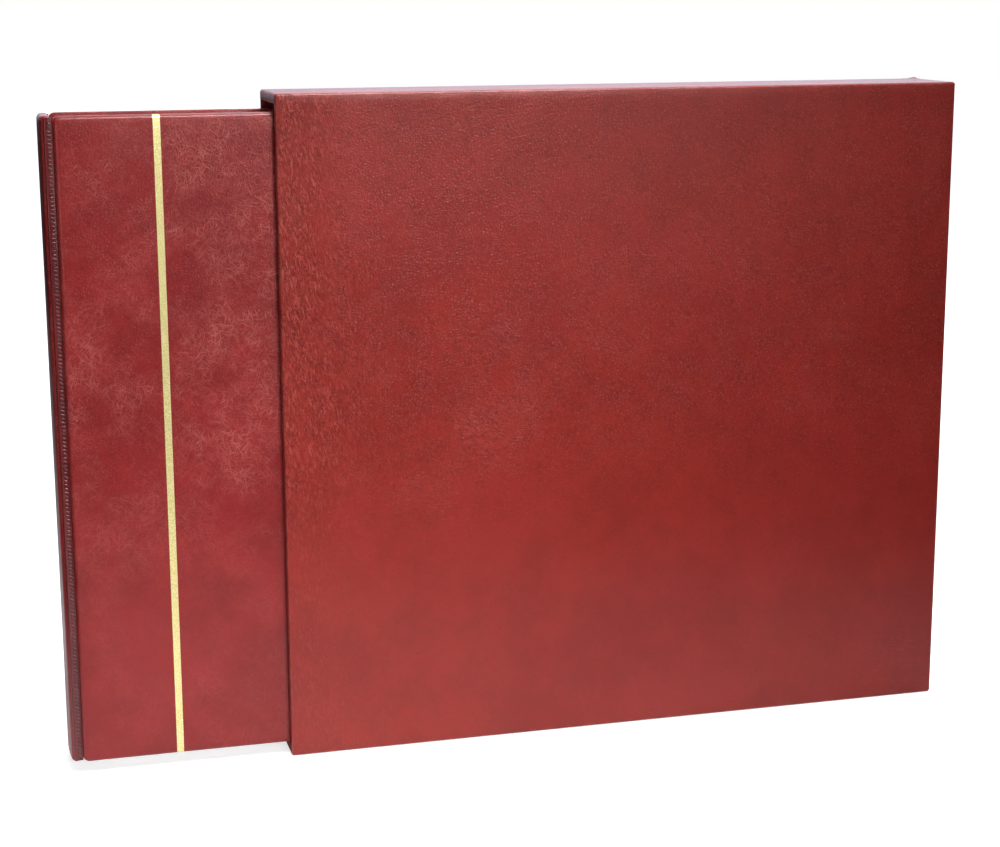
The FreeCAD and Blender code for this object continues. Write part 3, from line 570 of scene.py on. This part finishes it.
def make_gold_foil():
    """Hot-stamped gold foil that lets the grain beneath through."""
    material, tree, shader, place = start_material("gold_foil")
    specks = between(tree, noise_value(tree, place, 2600.0, 2.0, 0.6), 0.36, 0.56)
    tone = mixed(tree, specks, (0.62, 0.50, 0.17, 1.0), (0.88, 0.78, 0.38, 1.0))
    rough = between(tree, noise_value(tree, place, 500.0, 3.0), 0.3, 0.7, 0.30, 0.42)
    set_shader(tree, shader, Base_Color=tone, Roughness=rough, Metallic=0.55)
    add_bump(tree, shader, noise_value(tree, place, 1300.0, 3.0, 0.6), 0.3, 0.00004)
    return material


def make_paper(name, groups, pale, dark, fineness, fibre, rough=0.85, relief=0.00003):
    """Card, board, foam or paper with its own fibre."""
    material, tree, shader, place = start_material(name)
    fibres = use_group(
        tree, groups["fibre"], {"Vector": place, "Fineness": fineness, "Fibre": fibre}
    )
    clouds = mixed(tree, between(tree, fibres.outputs["Cloud"], 0.3, 0.7), dark, pale)
    flecks = between(tree, fibres.outputs["Height"], 0.36, 0.60)
    tone = mixed(tree, maths(tree, "MULTIPLY_ADD", flecks, 0.6, 0.4), dark, clouds)
    roughness = maths(tree, "MULTIPLY_ADD", fibres.outputs["Height"], 0.12, rough - 0.06)
    set_shader(tree, shader, Base_Color=tone, Roughness=roughness, Specular_IOR_Level=0.3)
    add_bump(tree, shader, fibres.outputs["Height"], 0.5, relief)
    return material


def make_cloth(name, thread, weft, dark, light):
    """Plain-woven book cloth."""
    material, tree, shader, place = start_material(name)
    waves = []
    for angle in (0.0, HALF_PI):
        wave = wire(
            tree, "ShaderNodeTexWave",
            {"Vector": turned(tree, place, angle), "Scale": thread, "Distortion": 0.6,
             "Detail": 2.0},
            bands_direction="X",
        )
        waves.append(wave.outputs["Fac"])
    weave = maths(tree, "MAXIMUM", waves[0], maths(tree, "MULTIPLY", waves[1], weft))
    set_shader(
        tree, shader, Base_Color=mixed(tree, weave, dark, light),
        Roughness=maths(tree, "MULTIPLY_ADD", weave, 0.1, 0.75), Sheen_Weight=0.3,
        Sheen_Roughness=0.5,
    )
    add_bump(tree, shader, weave, 0.6, 0.0001)
    return material


def make_flock():
    """Short black flock: matt, with a soft pile sheen and brushed clouds."""
    material, tree, shader, place = start_material("case_flock")
    pile = noise_value(tree, place, 2400.0, 4.0, 0.7)
    brushed = between(tree, noise_value(tree, place, 28.0, 4.0, 0.6), 0.35, 0.65)
    dark = mixed(tree, brushed, (0.006, 0.005, 0.006, 1.0), (0.014, 0.012, 0.013, 1.0))
    tone = mixed(tree, between(tree, pile, 0.45, 0.7), dark, (0.03, 0.027, 0.028, 1.0))
    set_shader(
        tree, shader, Base_Color=tone, Roughness=maths(tree, "MULTIPLY_ADD", pile, 0.1, 0.88),
        Specular_IOR_Level=0.15, Sheen_Weight=0.35, Sheen_Roughness=0.6,
    )
    add_bump(tree, shader, pile, 0.7, 0.00012)
    return material


def make_metal(name, pale, dark, rough, brush):
    """Turned or rolled metal with fine brush lines and a few duller spots."""
    material, tree, shader, place = start_material(name)
    lines = noise_value(tree, turned(tree, place, 0.0, brush), 1400.0, 3.0, 0.6)
    spots = between(tree, noise_value(tree, place, 240.0, 4.0, 0.65), 0.5, 0.72)
    tone = mixed(tree, spots, pale, dark)
    tone = mixed(tree, maths(tree, "MULTIPLY", lines, 0.25), tone, dark)
    roughness = maths(tree, "MULTIPLY_ADD", lines, 0.18, rough)
    set_shader(tree, shader, Base_Color=tone, Roughness=roughness, Metallic=1.0)
    add_bump(tree, shader, lines, 0.3, 0.00002)
    return material


def make_lacquered_steel():
    """Black stoved lacquer with a light orange peel."""
    material, tree, shader, place = start_material("bar_steel")
    peel = noise_value(tree, place, 700.0, 3.0, 0.5)
    raised = between(tree, peel, 0.3, 0.7)
    tone = mixed(tree, raised, (0.012, 0.012, 0.013, 1.0), (0.03, 0.03, 0.032, 1.0))
    set_shader(
        tree, shader, Base_Color=tone, Roughness=maths(tree, "MULTIPLY_ADD", peel, 0.15, 0.28),
        Coat_Weight=0.4, Coat_Roughness=0.2,
    )
    add_bump(tree, shader, peel, 0.35, 0.00004)
    return material


def make_film(name, tint, alpha, rough):
    """Clear or milky film with faint waves."""
    material, tree, shader, place = start_material(name)
    waves = noise_value(tree, place, 120.0, 3.0, 0.5)
    tone = mixed(tree, between(tree, waves, 0.3, 0.7), tint, WHITE)
    roughness = maths(tree, "MULTIPLY_ADD", waves, 0.1, rough)
    set_shader(tree, shader, Base_Color=tone, Roughness=roughness, Alpha=alpha)
    add_bump(tree, shader, waves, 0.2, 0.00005)
    return material


def make_materials():
    """Every finish of the object, by name."""
    groups = {
        "grain": make_grain_group(), "scuff": make_scuff_group(),
        "wear": make_wear_group(), "fibre": make_fibre_group(),
    }
    case_looks = {
        "pebbles": 900.0, "crinkles": 700.0, "wrinkle_cover": 0.48, "stretch": 4.5,
        "edge_pull": 0.9, "crest_highlight": 0.42, "crease_shade": 0.95, "fineness": 3000.0,
        "length": 12.0, "scuff_cover": 0.35, "scuff_and_glint_tone": 0.10, "haze_and_sheen": 0.0, "edge_wear": 0.3,
        "rough": 0.30, "rough_spread": 0.12, "coat": 0.26, "coat_rough": 0.22, "specular": 0.26,
        "bump": 0.8, "relief": 0.00019,
    }
    album_looks = dict(
        case_looks, crinkles=760.0, wrinkle_cover=0.3, stretch=1.8, edge_pull=0.0, crest_highlight=0.36,
        crease_shade=0.8, fineness=2900.0, length=22.0, scuff_cover=0.62, scuff_and_glint_tone=0.62, haze_and_sheen=0.02,
        coat=0.24, coat_rough=0.14, rough=0.34, edge_wear=0.12, relief=0.00013,
    )
    seam_looks = dict(album_looks, coat=0.7, coat_rough=0.12, scuff_and_glint_tone=0.1, edge_wear=0.0)
    made = {
        "gold_foil": make_gold_foil(),
        "case_flock": make_flock(),
        "bar_steel": make_lacquered_steel(),
        "post_brass": make_metal(
            "post_brass", (0.80, 0.62, 0.28, 1.0), (0.42, 0.28, 0.10, 1.0), 0.22, (1.0, 6.0, 1.0)
        ),
        "hinge_cloth": make_cloth(
            "hinge_cloth", 700.0, 0.8, (0.035, 0.006, 0.006, 1.0), (0.12, 0.018, 0.016, 1.0)
        ),
        "strip_film": make_film("strip_film", (0.92, 0.95, 0.97, 1.0), 0.28, 0.12),
        "glassine": make_film("glassine", (0.93, 0.93, 0.90, 1.0), 0.55, 0.38),
    }
    # each leatherette: deep and body dyes, then the worn tone that also colours the painted
    # highlights
    for name, *dyes_and_looks in (
        ("case_leatherette", (0.222, 0.0150, 0.0105, 1.0), (0.262, 0.0185, 0.0135, 1.0),
         (0.52, 0.150, 0.105, 1.0), case_looks),
        ("album_leatherette", (0.190, 0.0095, 0.0100, 1.0), (0.240, 0.0135, 0.0135, 1.0),
         (0.46, 0.125, 0.105, 1.0), album_looks),
        # the weld's darker dyes: partly the pressed vinyl of the weld, partly painted shade in the
        # recess between spine and cover
        ("seam_leatherette_pressed_and_shaded", (0.085, 0.0050, 0.0065, 1.0), (0.120, 0.0075, 0.0090, 1.0),
         (0.30, 0.080, 0.070, 1.0), seam_looks),
    ):
        made[name] = make_leatherette(name, groups, *dyes_and_looks)
    for name, *values in (
        ("greyboard", (0.34, 0.32, 0.29, 1.0), (0.22, 0.20, 0.18, 1.0), 700.0, (4.0, 1.0, 4.0)),
        ("foam", (0.80, 0.78, 0.70, 1.0), (0.62, 0.59, 0.50, 1.0), 1200.0, (1.0, 1.0, 1.0),
         0.95, 0.0002),
        ("endpaper", (0.82, 0.79, 0.71, 1.0), (0.72, 0.68, 0.59, 1.0), 800.0, (1.0, 1.0, 9.0)),
        ("leaf_card", (0.84, 0.82, 0.76, 1.0), (0.74, 0.71, 0.64, 1.0), 1100.0, (3.0, 1.0, 3.0)),
    ):
        made[name] = make_paper(name, groups, *values)
    return made


finishes = make_materials()


# ---------------------------------------------------------------- slipcase
def box_over(*nodes):
    """Lowest and highest corners over several CAD nodes."""
    low = Vector(min(boxes[node][0][axis] for node in nodes) for axis in range(3))
    high = Vector(max(boxes[node][1][axis] for node in nodes) for axis in range(3))
    return low, high


CASE_SIDES = ("front", "rear", "top", "bottom", "end")
CASE_SKINS = tuple(f"case_{side}_skin" for side in CASE_SIDES)
case_low, case_high = box_over(*CASE_SKINS)
inner_low = box_over("case_top_lining", "case_bottom_lining")[0]
face_wall = inner_low.y - case_low.y
edge_wall = inner_low.z + SKIN - case_low.z


def case_bow(across, up, along):
    """How far the slipcase's faces stray from flat: drawn board and slow waves of glue."""
    slow = noise.noise(Vector((along / 0.11, up / 0.13, across / 0.03 + 5)))
    quick = noise.noise(Vector((along / 0.035, up / 0.04, across / 0.03 + 9)))
    return CASE_BOW * slow + CASE_RIPPLE * quick


def case_spot(across, up, along):
    """A point of the slipcase's leatherette, its flat faces very slightly bowed."""
    point = Vector((along, across, up))
    fade_x = held(min(along - case_low.x, case_high.x - along) / BOW_REACH)
    fade_z = held(min(up - case_low.z, case_high.z - up) / BOW_REACH)
    if min(across - case_low.y, case_high.y - across) < OUTER_SHARE:
        side = -1 if across < 0 else 1
        point.y -= side * abs(case_bow(across, up, along)) * fade_x * fade_z
    point.z += PINCH * math.exp(-((point - case_high).length / PINCH_REACH) ** 2)
    return point


def case_path():
    """Loops from the turn-in, round the mouth's edge, along the outside and over the closed end."""
    mouth = case_low.x
    end = case_high.x
    roll = CASE_ROUND
    path = [
        (face_wall, edge_wall, MOUTH_CORNER, mouth + CASE_TURN_IN),
        (face_wall, edge_wall, MOUTH_CORNER, mouth + CASE_TURN_IN / 2),
    ]
    for angle in ROLL_ANGLES:
        back = roll * (1 - math.cos(angle))
        along = mouth + roll * (1 - math.sin(angle))
        path.append((face_wall - back, edge_wall - back, MOUTH_CORNER + back / 2, along))
    for angle in ROLL_ANGLES:
        inset = roll * (1 - math.sin(angle))
        along = mouth + roll * (1 - math.cos(angle))
        path.append((inset, inset, roll - inset + CASE_CORNER, along))
    along_start = mouth + roll
    along_end = end - roll
    steps = round((along_end - along_start) / CASE_PITCH)
    for step in range(1, steps):
        along = blend_between(along_start, along_end, step / steps)
        path.append((0.0, 0.0, roll + CASE_CORNER, along))
    for angle in ROLL_ANGLES:
        inset = roll * (1 - math.cos(angle))
        corner = roll - inset + CASE_CORNER * math.cos(angle)
        path.append((inset, inset, corner, along_end + roll * math.sin(angle)))
    path.append((2 * roll, 2 * roll, 0.0, end))
    return path


def make_case_leatherette():
    """The slipcase's whole covering, from one turn-in round to the other."""
    low = (case_low.y, case_low.z)
    high = (case_high.y, case_high.z)
    item = make_panel("slipcase_leatherette", low, high, case_path(), case_spot)
    thicken(item, SKIN)
    finish_piece(item, "slipcase", finishes["case_leatherette"], CASE_SKINS)


def make_eased_board(node, body):
    """A board with its edges sanded, in place of the square one."""
    low, high = boxes[node]
    work = bmesh.new()
    bmesh.ops.create_cube(work, size=1.0)
    middle = (low + high) / 2
    scale = high - low
    for vertex in work.verts:
        vertex.co = Vector(vertex.co[axis] * scale[axis] + middle[axis] for axis in range(3))
    bmesh.ops.bevel(work, geom=work.edges[:], offset=BOARD_EASE, segments=3, profile=0.5,
                    affect="EDGES")
    mesh = bpy.data.meshes.new(f"{node}_eased")
    work.to_mesh(mesh)
    work.free()
    item = add_object(f"{node}_eased", mesh)
    finish_piece(item, body, finishes["greyboard"], [node])


make_case_leatherette()
for side in CASE_SIDES:
    make_eased_board(f"case_{side}_board", "slipcase")
make_eased_board("spine_board", "album")


# ---------------------------------------------------------------- padded covers and spine
def swell(across, up, seed):
    """How far foam and leatherette stray from flat, in slow swells and small ripples."""
    slow = noise.noise(Vector((across / 0.06, up / 0.07, seed)))
    quick = noise.noise(Vector((across / 0.020, up / 0.024, seed + 3)))
    return SWELL * slow + SWELL_RIPPLE * quick


# turn_in: across and up; back and chamfer: the small roll round its inner edge; roll: of the foam
# at its outer edge; sag: how much lower the foam lies there; foam_in: how far in its underside is
# filled; rim: insets of the loops across the slope where it rises
Pad = namedtuple("Pad", "turn_in corner back chamfer roll sag foam_in rim")
COVER = Pad(
    turn_in=(12 * MM, 12 * MM), corner=3 * MM, back=0.55 * MM, chamfer=0.16 * MM, roll=2.2 * MM,
    sag=0.70 * MM, foam_in=4 * MM,
    rim=tuple(inset * MM for inset in (3.1, 4.2, 5.6, 7.4, 9.8, 13.0, 17.0, 22.0)),
)
SPINE = Pad(
    turn_in=(4 * MM, 8 * MM), corner=2.0 * MM, back=0.5 * MM, chamfer=0.15 * MM, roll=1.9 * MM,
    sag=0.15 * MM, foam_in=2.5 * MM, rim=tuple(inset * MM for inset in (2.6, 3.6, 5.0)),
)


def roll_path(pad, thick, offset=0.0):
    """The rolled edge of a padded form, offset inwards from its leatherette's surface.

    It goes from the side wall, over the roll, and on across the slope where the foam rises.
    """
    radius = pad.roll - offset
    line = [
        (pad.roll - radius * math.cos(angle), thick - pad.roll + radius * math.sin(angle))
        for angle in ROLL_ANGLES
    ]
    line += [(inset, thick - offset) for inset in pad.rim]
    path = []
    for inset, depth in line:
        lower = pad.sag * math.exp(-inset / SAG_REACH)
        path.append((inset, inset, pad.corner - inset, depth - lower))
    return path


def make_pad(name, pad, corners, thick, foam_base, spot):
    """Leatherette and foam of a padded part, the one on the other."""
    path = [
        (*pad.turn_in, 0.0, 0.0),
        (pad.corner, pad.corner, 0.0, 0.0),
        (pad.back, pad.back, pad.corner - pad.back, 0.0),
        (pad.chamfer, pad.chamfer, pad.corner - pad.chamfer, pad.chamfer),
        (0.0, 0.0, pad.corner, pad.back),
    ]
    path += roll_path(pad, thick)
    skin = make_panel(f"{name}_leatherette", *corners, path, spot)
    thicken(skin, SKIN)
    finish_piece(
        skin, "album", finishes["album_leatherette"], [f"{name}_skin"]
    )

    inner = SKIN + FOAM_GAP
    foam_path = [
        (pad.foam_in, pad.foam_in, 0.0, foam_base),
        (inner, inner, pad.corner - SKIN, foam_base),
    ]
    for across, up, radius, depth in roll_path(pad, thick, inner):
        foam_path.append((across, up, radius, max(depth, foam_base + FOAM_LEAST)))
    foam = make_panel(f"{name}_foam", *corners, foam_path, spot, closed_start=True)
    finish_piece(foam, "album", finishes["foam"], [f"{name}_padding"])


def cover_spot(side, across, up, depth):
    """A point of a cover: depth is measured outwards from its inner face."""
    low, high = boxes[f"{side}_cover_skin"]
    thick = high.y - low.y
    inset = min(across - low.x, high.x - across, up - low.z, high.z - up)
    share = held(inset / SWELL_REACH) * held(depth / thick * 3 - 2)
    seed = 1.0 if side == "front" else 21.0
    out = depth + share * (swell(across, up, seed) - SWELL_SINK)
    if side == "front":
        return Vector((across, high.y - out, up))
    return Vector((across, low.y + out, up))


def make_cover(side):
    """Leatherette and foam of one cover."""
    low, high = boxes[f"{side}_cover_skin"]
    inner_face = 0 if side == "rear" else 1
    foam_face = boxes[f"{side}_cover_padding"][inner_face].y
    make_pad(
        f"{side}_cover", COVER, ((low.x, low.z), (high.x, high.z)), high.y - low.y,
        abs((low, high)[inner_face].y - foam_face), partial(cover_spot, side),
    )


def make_spine():
    """Leatherette and foam of the spine, crowned across and rolled at all four edges."""
    low, high = boxes["spine_skin"]
    thick = high.x - low.x
    foam_base = high.x - boxes["spine_padding"][1].x

    def spot(across, up, depth):
        share = held((depth - foam_base) / (thick - SPINE.roll - foam_base))
        drop = SPINE_CROWN * (across / high.y) ** 2 * share
        ripple = 0.3 * swell(across, up, 40.0) * share
        return Vector((high.x - depth + drop + ripple, across, up))

    make_pad("spine", SPINE, ((low.y, low.z), (high.y, high.z)), thick, foam_base, spot)


def make_gold_stripe():
    """Foil down the front cover that follows the foam and wraps over the head and the tail."""
    low, high = boxes["gold_stripe"]
    cover_low, cover_high = boxes["front_cover_skin"]
    thick = cover_high.y - cover_low.y
    height = cover_high.z - cover_low.z
    edge = [(0.0, thick - COVER.roll - COVER.sag - FOIL_WRAP / 2)]
    edge += [(inset, depth) for inset, _, _, depth in roll_path(COVER, thick)]
    flat = COVER.rim[-1]
    steps = round((height - 2 * flat) / PITCH)
    run = [
        (blend_between(flat, height - flat, step / steps), thick) for step in range(1, steps)
    ]
    line = edge + run + [(height - up, depth) for up, depth in reversed(edge)]
    rows = []
    for up, depth in line:
        row = []
        for step in range(FOIL_STEPS + 1):
            across = blend_between(low.x, high.x, step / FOIL_STEPS)
            row.append(cover_spot("front", across, cover_low.z + up, depth))
        rows.append(row)
    shell = Shell()
    shell.grid(rows)
    item = shell.build("gold_foil_stripe")
    facing = sum(face.normal.y * face.area for face in item.data.polygons)
    if facing > 0:
        item.data.flip_normals()
    thicken(item, FOIL, 1.0)
    finish_piece(item, "album", finishes["gold_foil"], ["gold_stripe"])


def soft_outline(points):
    """A closed outline with its corners cut back, twice over."""
    for _ in range(2):
        softer = []
        for index, point in enumerate(points):
            after = points[(index + 1) % len(points)]
            for share in (0.25, 0.75):
                softer.append(tuple(blend_between(a, b, share) for a, b in zip(point, after)))
        points = softer
    return points


def make_rib_tree():
    """Nodes that set a row of slanted ribs on a welded seam."""
    tree = bpy.data.node_groups.new("weld_ribs", "GeometryNodeTree")
    sockets = (
        ("Geometry", "NodeSocketGeometry"), ("Count", "NodeSocketInt"), ("First Rib", VECTOR),
        ("Pitch", FLOAT), ("Length", FLOAT), ("Width", FLOAT), ("Height", FLOAT),
        ("Slant", FLOAT), ("Fall", FLOAT), ("Finish", "NodeSocketMaterial"),
    )
    for key, kind in sockets:
        tree.interface.new_socket(key, in_out="INPUT", socket_type=kind)
    tree.interface.new_socket("Geometry", in_out="OUTPUT", socket_type="NodeSocketGeometry")
    given = tree.nodes.new("NodeGroupInput")
    result = tree.nodes.new("NodeGroupOutput")
    step = wire(tree, "ShaderNodeCombineXYZ", {"Z": given.outputs["Pitch"]})
    row = wire(tree, "GeometryNodeMeshLine", {
        "Count": given.outputs["Count"], "Start Location": given.outputs["First Rib"],
        "Offset": step.outputs[0],
    })
    bead = wire(tree, "GeometryNodeMeshUVSphere", {"Segments": 10, "Rings": 7, "Radius": 0.5})
    extent = wire(tree, "ShaderNodeCombineXYZ", {
        "X": given.outputs["Length"], "Y": given.outputs["Height"], "Z": given.outputs["Width"],
    })
    rib = wire(tree, "GeometryNodeTransform", {
        "Geometry": bead.outputs["Mesh"], "Scale": extent.outputs[0],
    })
    lean = wire(tree, "ShaderNodeCombineXYZ", {
        "Y": given.outputs["Slant"], "Z": given.outputs["Fall"],
    })
    ribs = wire(tree, "GeometryNodeInstanceOnPoints", {
        "Points": row.outputs["Mesh"], "Instance": rib.outputs[0], "Rotation": lean.outputs[0],
    })
    joined = wire(tree, "GeometryNodeJoinGeometry")
    tree.links.new(ribs.outputs[0], joined.inputs[0])
    tree.links.new(given.outputs["Geometry"], joined.inputs[0])
    solid = wire(tree, "GeometryNodeRealizeInstances", {"Geometry": joined.outputs[0]})
    coated = wire(tree, "GeometryNodeSetMaterial", {
        "Geometry": solid.outputs[0], "Material": given.outputs["Finish"],
    })
    tree.links.new(coated.outputs[0], result.inputs["Geometry"])
    return tree


def run_tree(item, tree, values):
    """Put a tree on an object with its values, and keep the result as plain mesh."""
    modifier = item.modifiers.new(tree.name, "NODES")
    modifier.node_group = tree
    for socket in tree.interface.items_tree:
        if socket.in_out == "INPUT" and socket.name in values:
            modifier[socket.identifier] = values[socket.name]
    settle(item)


# a weld across: from the cover's edge, and out of the spine's wall
WELD_SECTION = tuple((along * MM, out * MM) for along, out in (
    (-4.0, -0.5), (-3.9, 0.55), (-3.3, 1.0), (-2.6, 0.55),
    (-0.9, 0.15), (-0.25, 0.45), (0.15, 0.3), (0.15, -0.6),
))


def make_weld_seam(side, rib_tree):
    """The welded joint of spine and cover: a rolled bead, a sloping web and its pressed ribs."""
    out = -1 if side == "front" else 1
    spine_low, spine_high = boxes["spine_skin"]
    wall = out * spine_high.y
    hinge = boxes["front_cover_skin"][0].x
    outline = soft_outline([(hinge + x, wall + out * y) for x, y in WELD_SECTION])
    low_z = spine_low.z + SEAM_GAP
    high_z = spine_high.z - SEAM_GAP
    steps = round((high_z - low_z) / SEAM_PITCH)
    shell = Shell()
    loops = []
    for step in range(steps + 1):
        up = blend_between(low_z, high_z, step / steps)
        loops.append([Vector((x, y, up)) for x, y in outline])
    rings = shell.loft(loops)
    shell.faces += [tuple(rings[0]), tuple(rings[-1])]
    item = shell.build(f"{side}_weld_seam")
    count = int((high_z - low_z - RIB_FREE) / RIB_PITCH)
    spare = (high_z - low_z - (count - 1) * RIB_PITCH) / 2
    run_tree(item, rib_tree, {
        "Count": count, "Pitch": RIB_PITCH,
        "First Rib": (hinge + RIB_PLACE[0], wall + out * RIB_PLACE[1], low_z + spare),
        "Length": RIB_LENGTH, "Width": RIB_WIDTH, "Height": RIB_HEIGHT, "Slant": RIB_SLANT,
        "Fall": out * RIB_FALL, "Finish": finishes["seam_leatherette_pressed_and_shaded"],
    })
    finish_piece(
        item, "album", finishes["seam_leatherette_pressed_and_shaded"], [f"{side}_hinge_seam"]
    )


make_cover("front")
make_cover("rear")
make_spine()
make_gold_stripe()
seam_ribs = make_rib_tree()
make_weld_seam("front", seam_ribs)
make_weld_seam("rear", seam_ribs)


# ---------------------------------------------------------------- carried-over pieces
# part of a CAD node's name, and the finish of such a node; the first that fits counts
CARRIED = (
    ("spine_lining", "endpaper"), ("lining", "case_flock"), ("endpaper", "endpaper"),
    ("hinge_cloth", "hinge_cloth"), ("binding_bar", "bar_steel"), ("post_", "post_brass"),
    ("strips", "strip_film"), ("glassine", "glassine"), ("lea", "leaf_card"),
    ("board", "greyboard"),
)

for name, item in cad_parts.items():
    finish = next((key for part, key in CARRIED if part in name), None)
    if finish is not None:
        for slot in item.material_slots:
            slot.material = finishes[finish]


# ---------------------------------------------------------------- floor, light and camera
TABLE_LEFT = (-0.452, -0.445)   # where the table that reflections show begins on the left
TABLE_NEAR = (-0.48, -0.24)     # and at the front, along a line that slants by TABLE_SLANT
TABLE_SLANT = -0.4
FLOOR_DROP = 0.2 * MM           # the floor lies this far under the object
GLOW_FADE = (0.40, 0.70, 0.72, 1.0)   # its glow to the camera: from and to radius, low and full


def make_floor():
    """A plain pale table: only the part round the object shows in reflections."""
    work = bmesh.new()
    bmesh.ops.create_grid(work, x_segments=8, y_segments=8, size=6.0)
    mesh = bpy.data.meshes.new("floor")
    work.to_mesh(mesh)
    work.free()
    floor = add_object("floor", mesh)
    floor.location = (0.0, 0.0, -FLOOR_DROP)
    material, tree, shader, place = start_material("floor")
    spot = wire(tree, "ShaderNodeSeparateXYZ", {"Vector": place})
    left = between(tree, spot.outputs["X"], *TABLE_LEFT)
    slant = maths(tree, "MULTIPLY_ADD", spot.outputs["X"], TABLE_SLANT, spot.outputs["Y"])
    table = maths(tree, "MULTIPLY", left, between(tree, slant, *TABLE_NEAR))
    seen = wire(tree, "ShaderNodeLightPath").outputs["Is Camera Ray"]
    pale = maths(tree, "MAXIMUM", seen, table)
    tone = mixed(tree, pale, DIM, (0.84, 0.84, 0.85, 1.0))
    away = wire(tree, "ShaderNodeVectorMath", {0: place}, operation="LENGTH").outputs["Value"]
    fading = between(tree, away, *GLOW_FADE)
    glow = mixed(tree, maths(tree, "MULTIPLY", seen, fading), BLACK, WHITE)
    set_shader(
        tree, shader, Base_Color=tone, Emission_Color=glow, Roughness=0.8,
        Specular_IOR_Level=0.1, Emission_Strength=1.0,
    )
    mesh.materials.append(material)


def make_world():
    """White to the camera; to the object, a dim room with a bright sweep behind it."""
    world = bpy.data.worlds.new("studio")
    bpy.context.scene.world = world
    world.use_nodes = True
    tree = world.node_tree
    tree.nodes.clear()
    way = wire(tree, "ShaderNodeTexCoord").outputs["Generated"]
    part = wire(tree, "ShaderNodeSeparateXYZ", {"Vector": way})
    behind = between(tree, part.outputs["Y"], 0.0, 0.7)
    low_down = between(tree, part.outputs["Z"], 0.75, 0.15)
    not_left = between(tree, part.outputs["X"], -0.35, 0.05)
    sweep = maths(tree, "MULTIPLY", maths(tree, "MULTIPLY", behind, low_down), not_left)
    above = between(tree, part.outputs["Z"], 0.1, 0.9)
    room = mixed(tree, above, DIM, (0.14, 0.14, 0.15, 1.0))
    lit = mixed(tree, sweep, room, (1.15, 1.25, 1.5, 1.0))
    seen = wire(tree, "ShaderNodeLightPath").outputs["Is Camera Ray"]
    colour = mixed(tree, seen, lit, WHITE)
    back = wire(tree, "ShaderNodeBackground", {"Color": colour, "Strength": 1.0})
    out = wire(tree, "ShaderNodeOutputWorld")
    tree.links.new(back.outputs[0], out.inputs["Surface"])


def add_softbox(name, spot, aim, size, power, spread=180.0):
    """A rectangular soft light that looks at a point."""
    light = bpy.data.lights.new(name, "AREA")
    light.shape = "RECTANGLE"
    light.size, light.size_y = size
    light.energy = power
    light.spread = math.radians(spread)
    item = add_object(name, light)
    item.location = spot
    item.rotation_mode = "QUATERNION"
    item.rotation_quaternion = (Vector(aim) - Vector(spot)).to_track_quat("-Z", "Y")


def make_lights():
    """Two narrow soft lamps on the front, one on the album's left edge and one behind."""
    add_softbox("top_light", (0.02, -0.48, 1.3), (-0.18, -0.1, 0.06), (0.7, 0.35), 1.9, 40.0)
    add_softbox("sheen_light", (0.35, -1.75, 0.65), (-0.20, 0.0, 0.20), (0.5, 0.4), 0.50, 30.0)
    add_softbox("edge_light", (-0.82, -0.92, 0.24), (-0.26, -0.02, 0.27), (0.18, 0.3), 1.2)
    add_softbox("back_light", (0.6, 1.2, 2.0), (-0.05, 0.0, 0.17), (1.2, 0.9), 22.0)


EYE = (-0.31785, -0.95308, 0.36729)
YAW = math.radians(15.19)
DOWN = math.radians(12.13)
ROLL = math.radians(-0.222)


def make_camera():
    """A camera in front of the album, a little above its head, looking right and down."""
    data = bpy.data.cameras.new("camera")
    data.lens = 73.18
    data.sensor_width = 36.0
    data.clip_start = 0.01
    data.clip_end = 50.0
    camera = add_object("camera", data)
    ahead = Vector((
        math.sin(YAW) * math.cos(DOWN), math.cos(YAW) * math.cos(DOWN), -math.sin(DOWN)
    ))
    right = Vector((math.cos(YAW), -math.sin(YAW), 0.0))
    above = right.cross(ahead)
    turned_right = right * math.cos(ROLL) + above * math.sin(ROLL)
    turned_up = above * math.cos(ROLL) - right * math.sin(ROLL)
    turn = Matrix((turned_right, turned_up, -ahead)).transposed()
    camera.matrix_world = Matrix.Translation(EYE) @ turn.to_4x4()
    bpy.context.scene.camera = camera


make_floor()
make_world()
make_lights()
make_camera()
bpy.context.scene.view_settings.view_transform = "Standard"

bpy.context.view_layer.update()
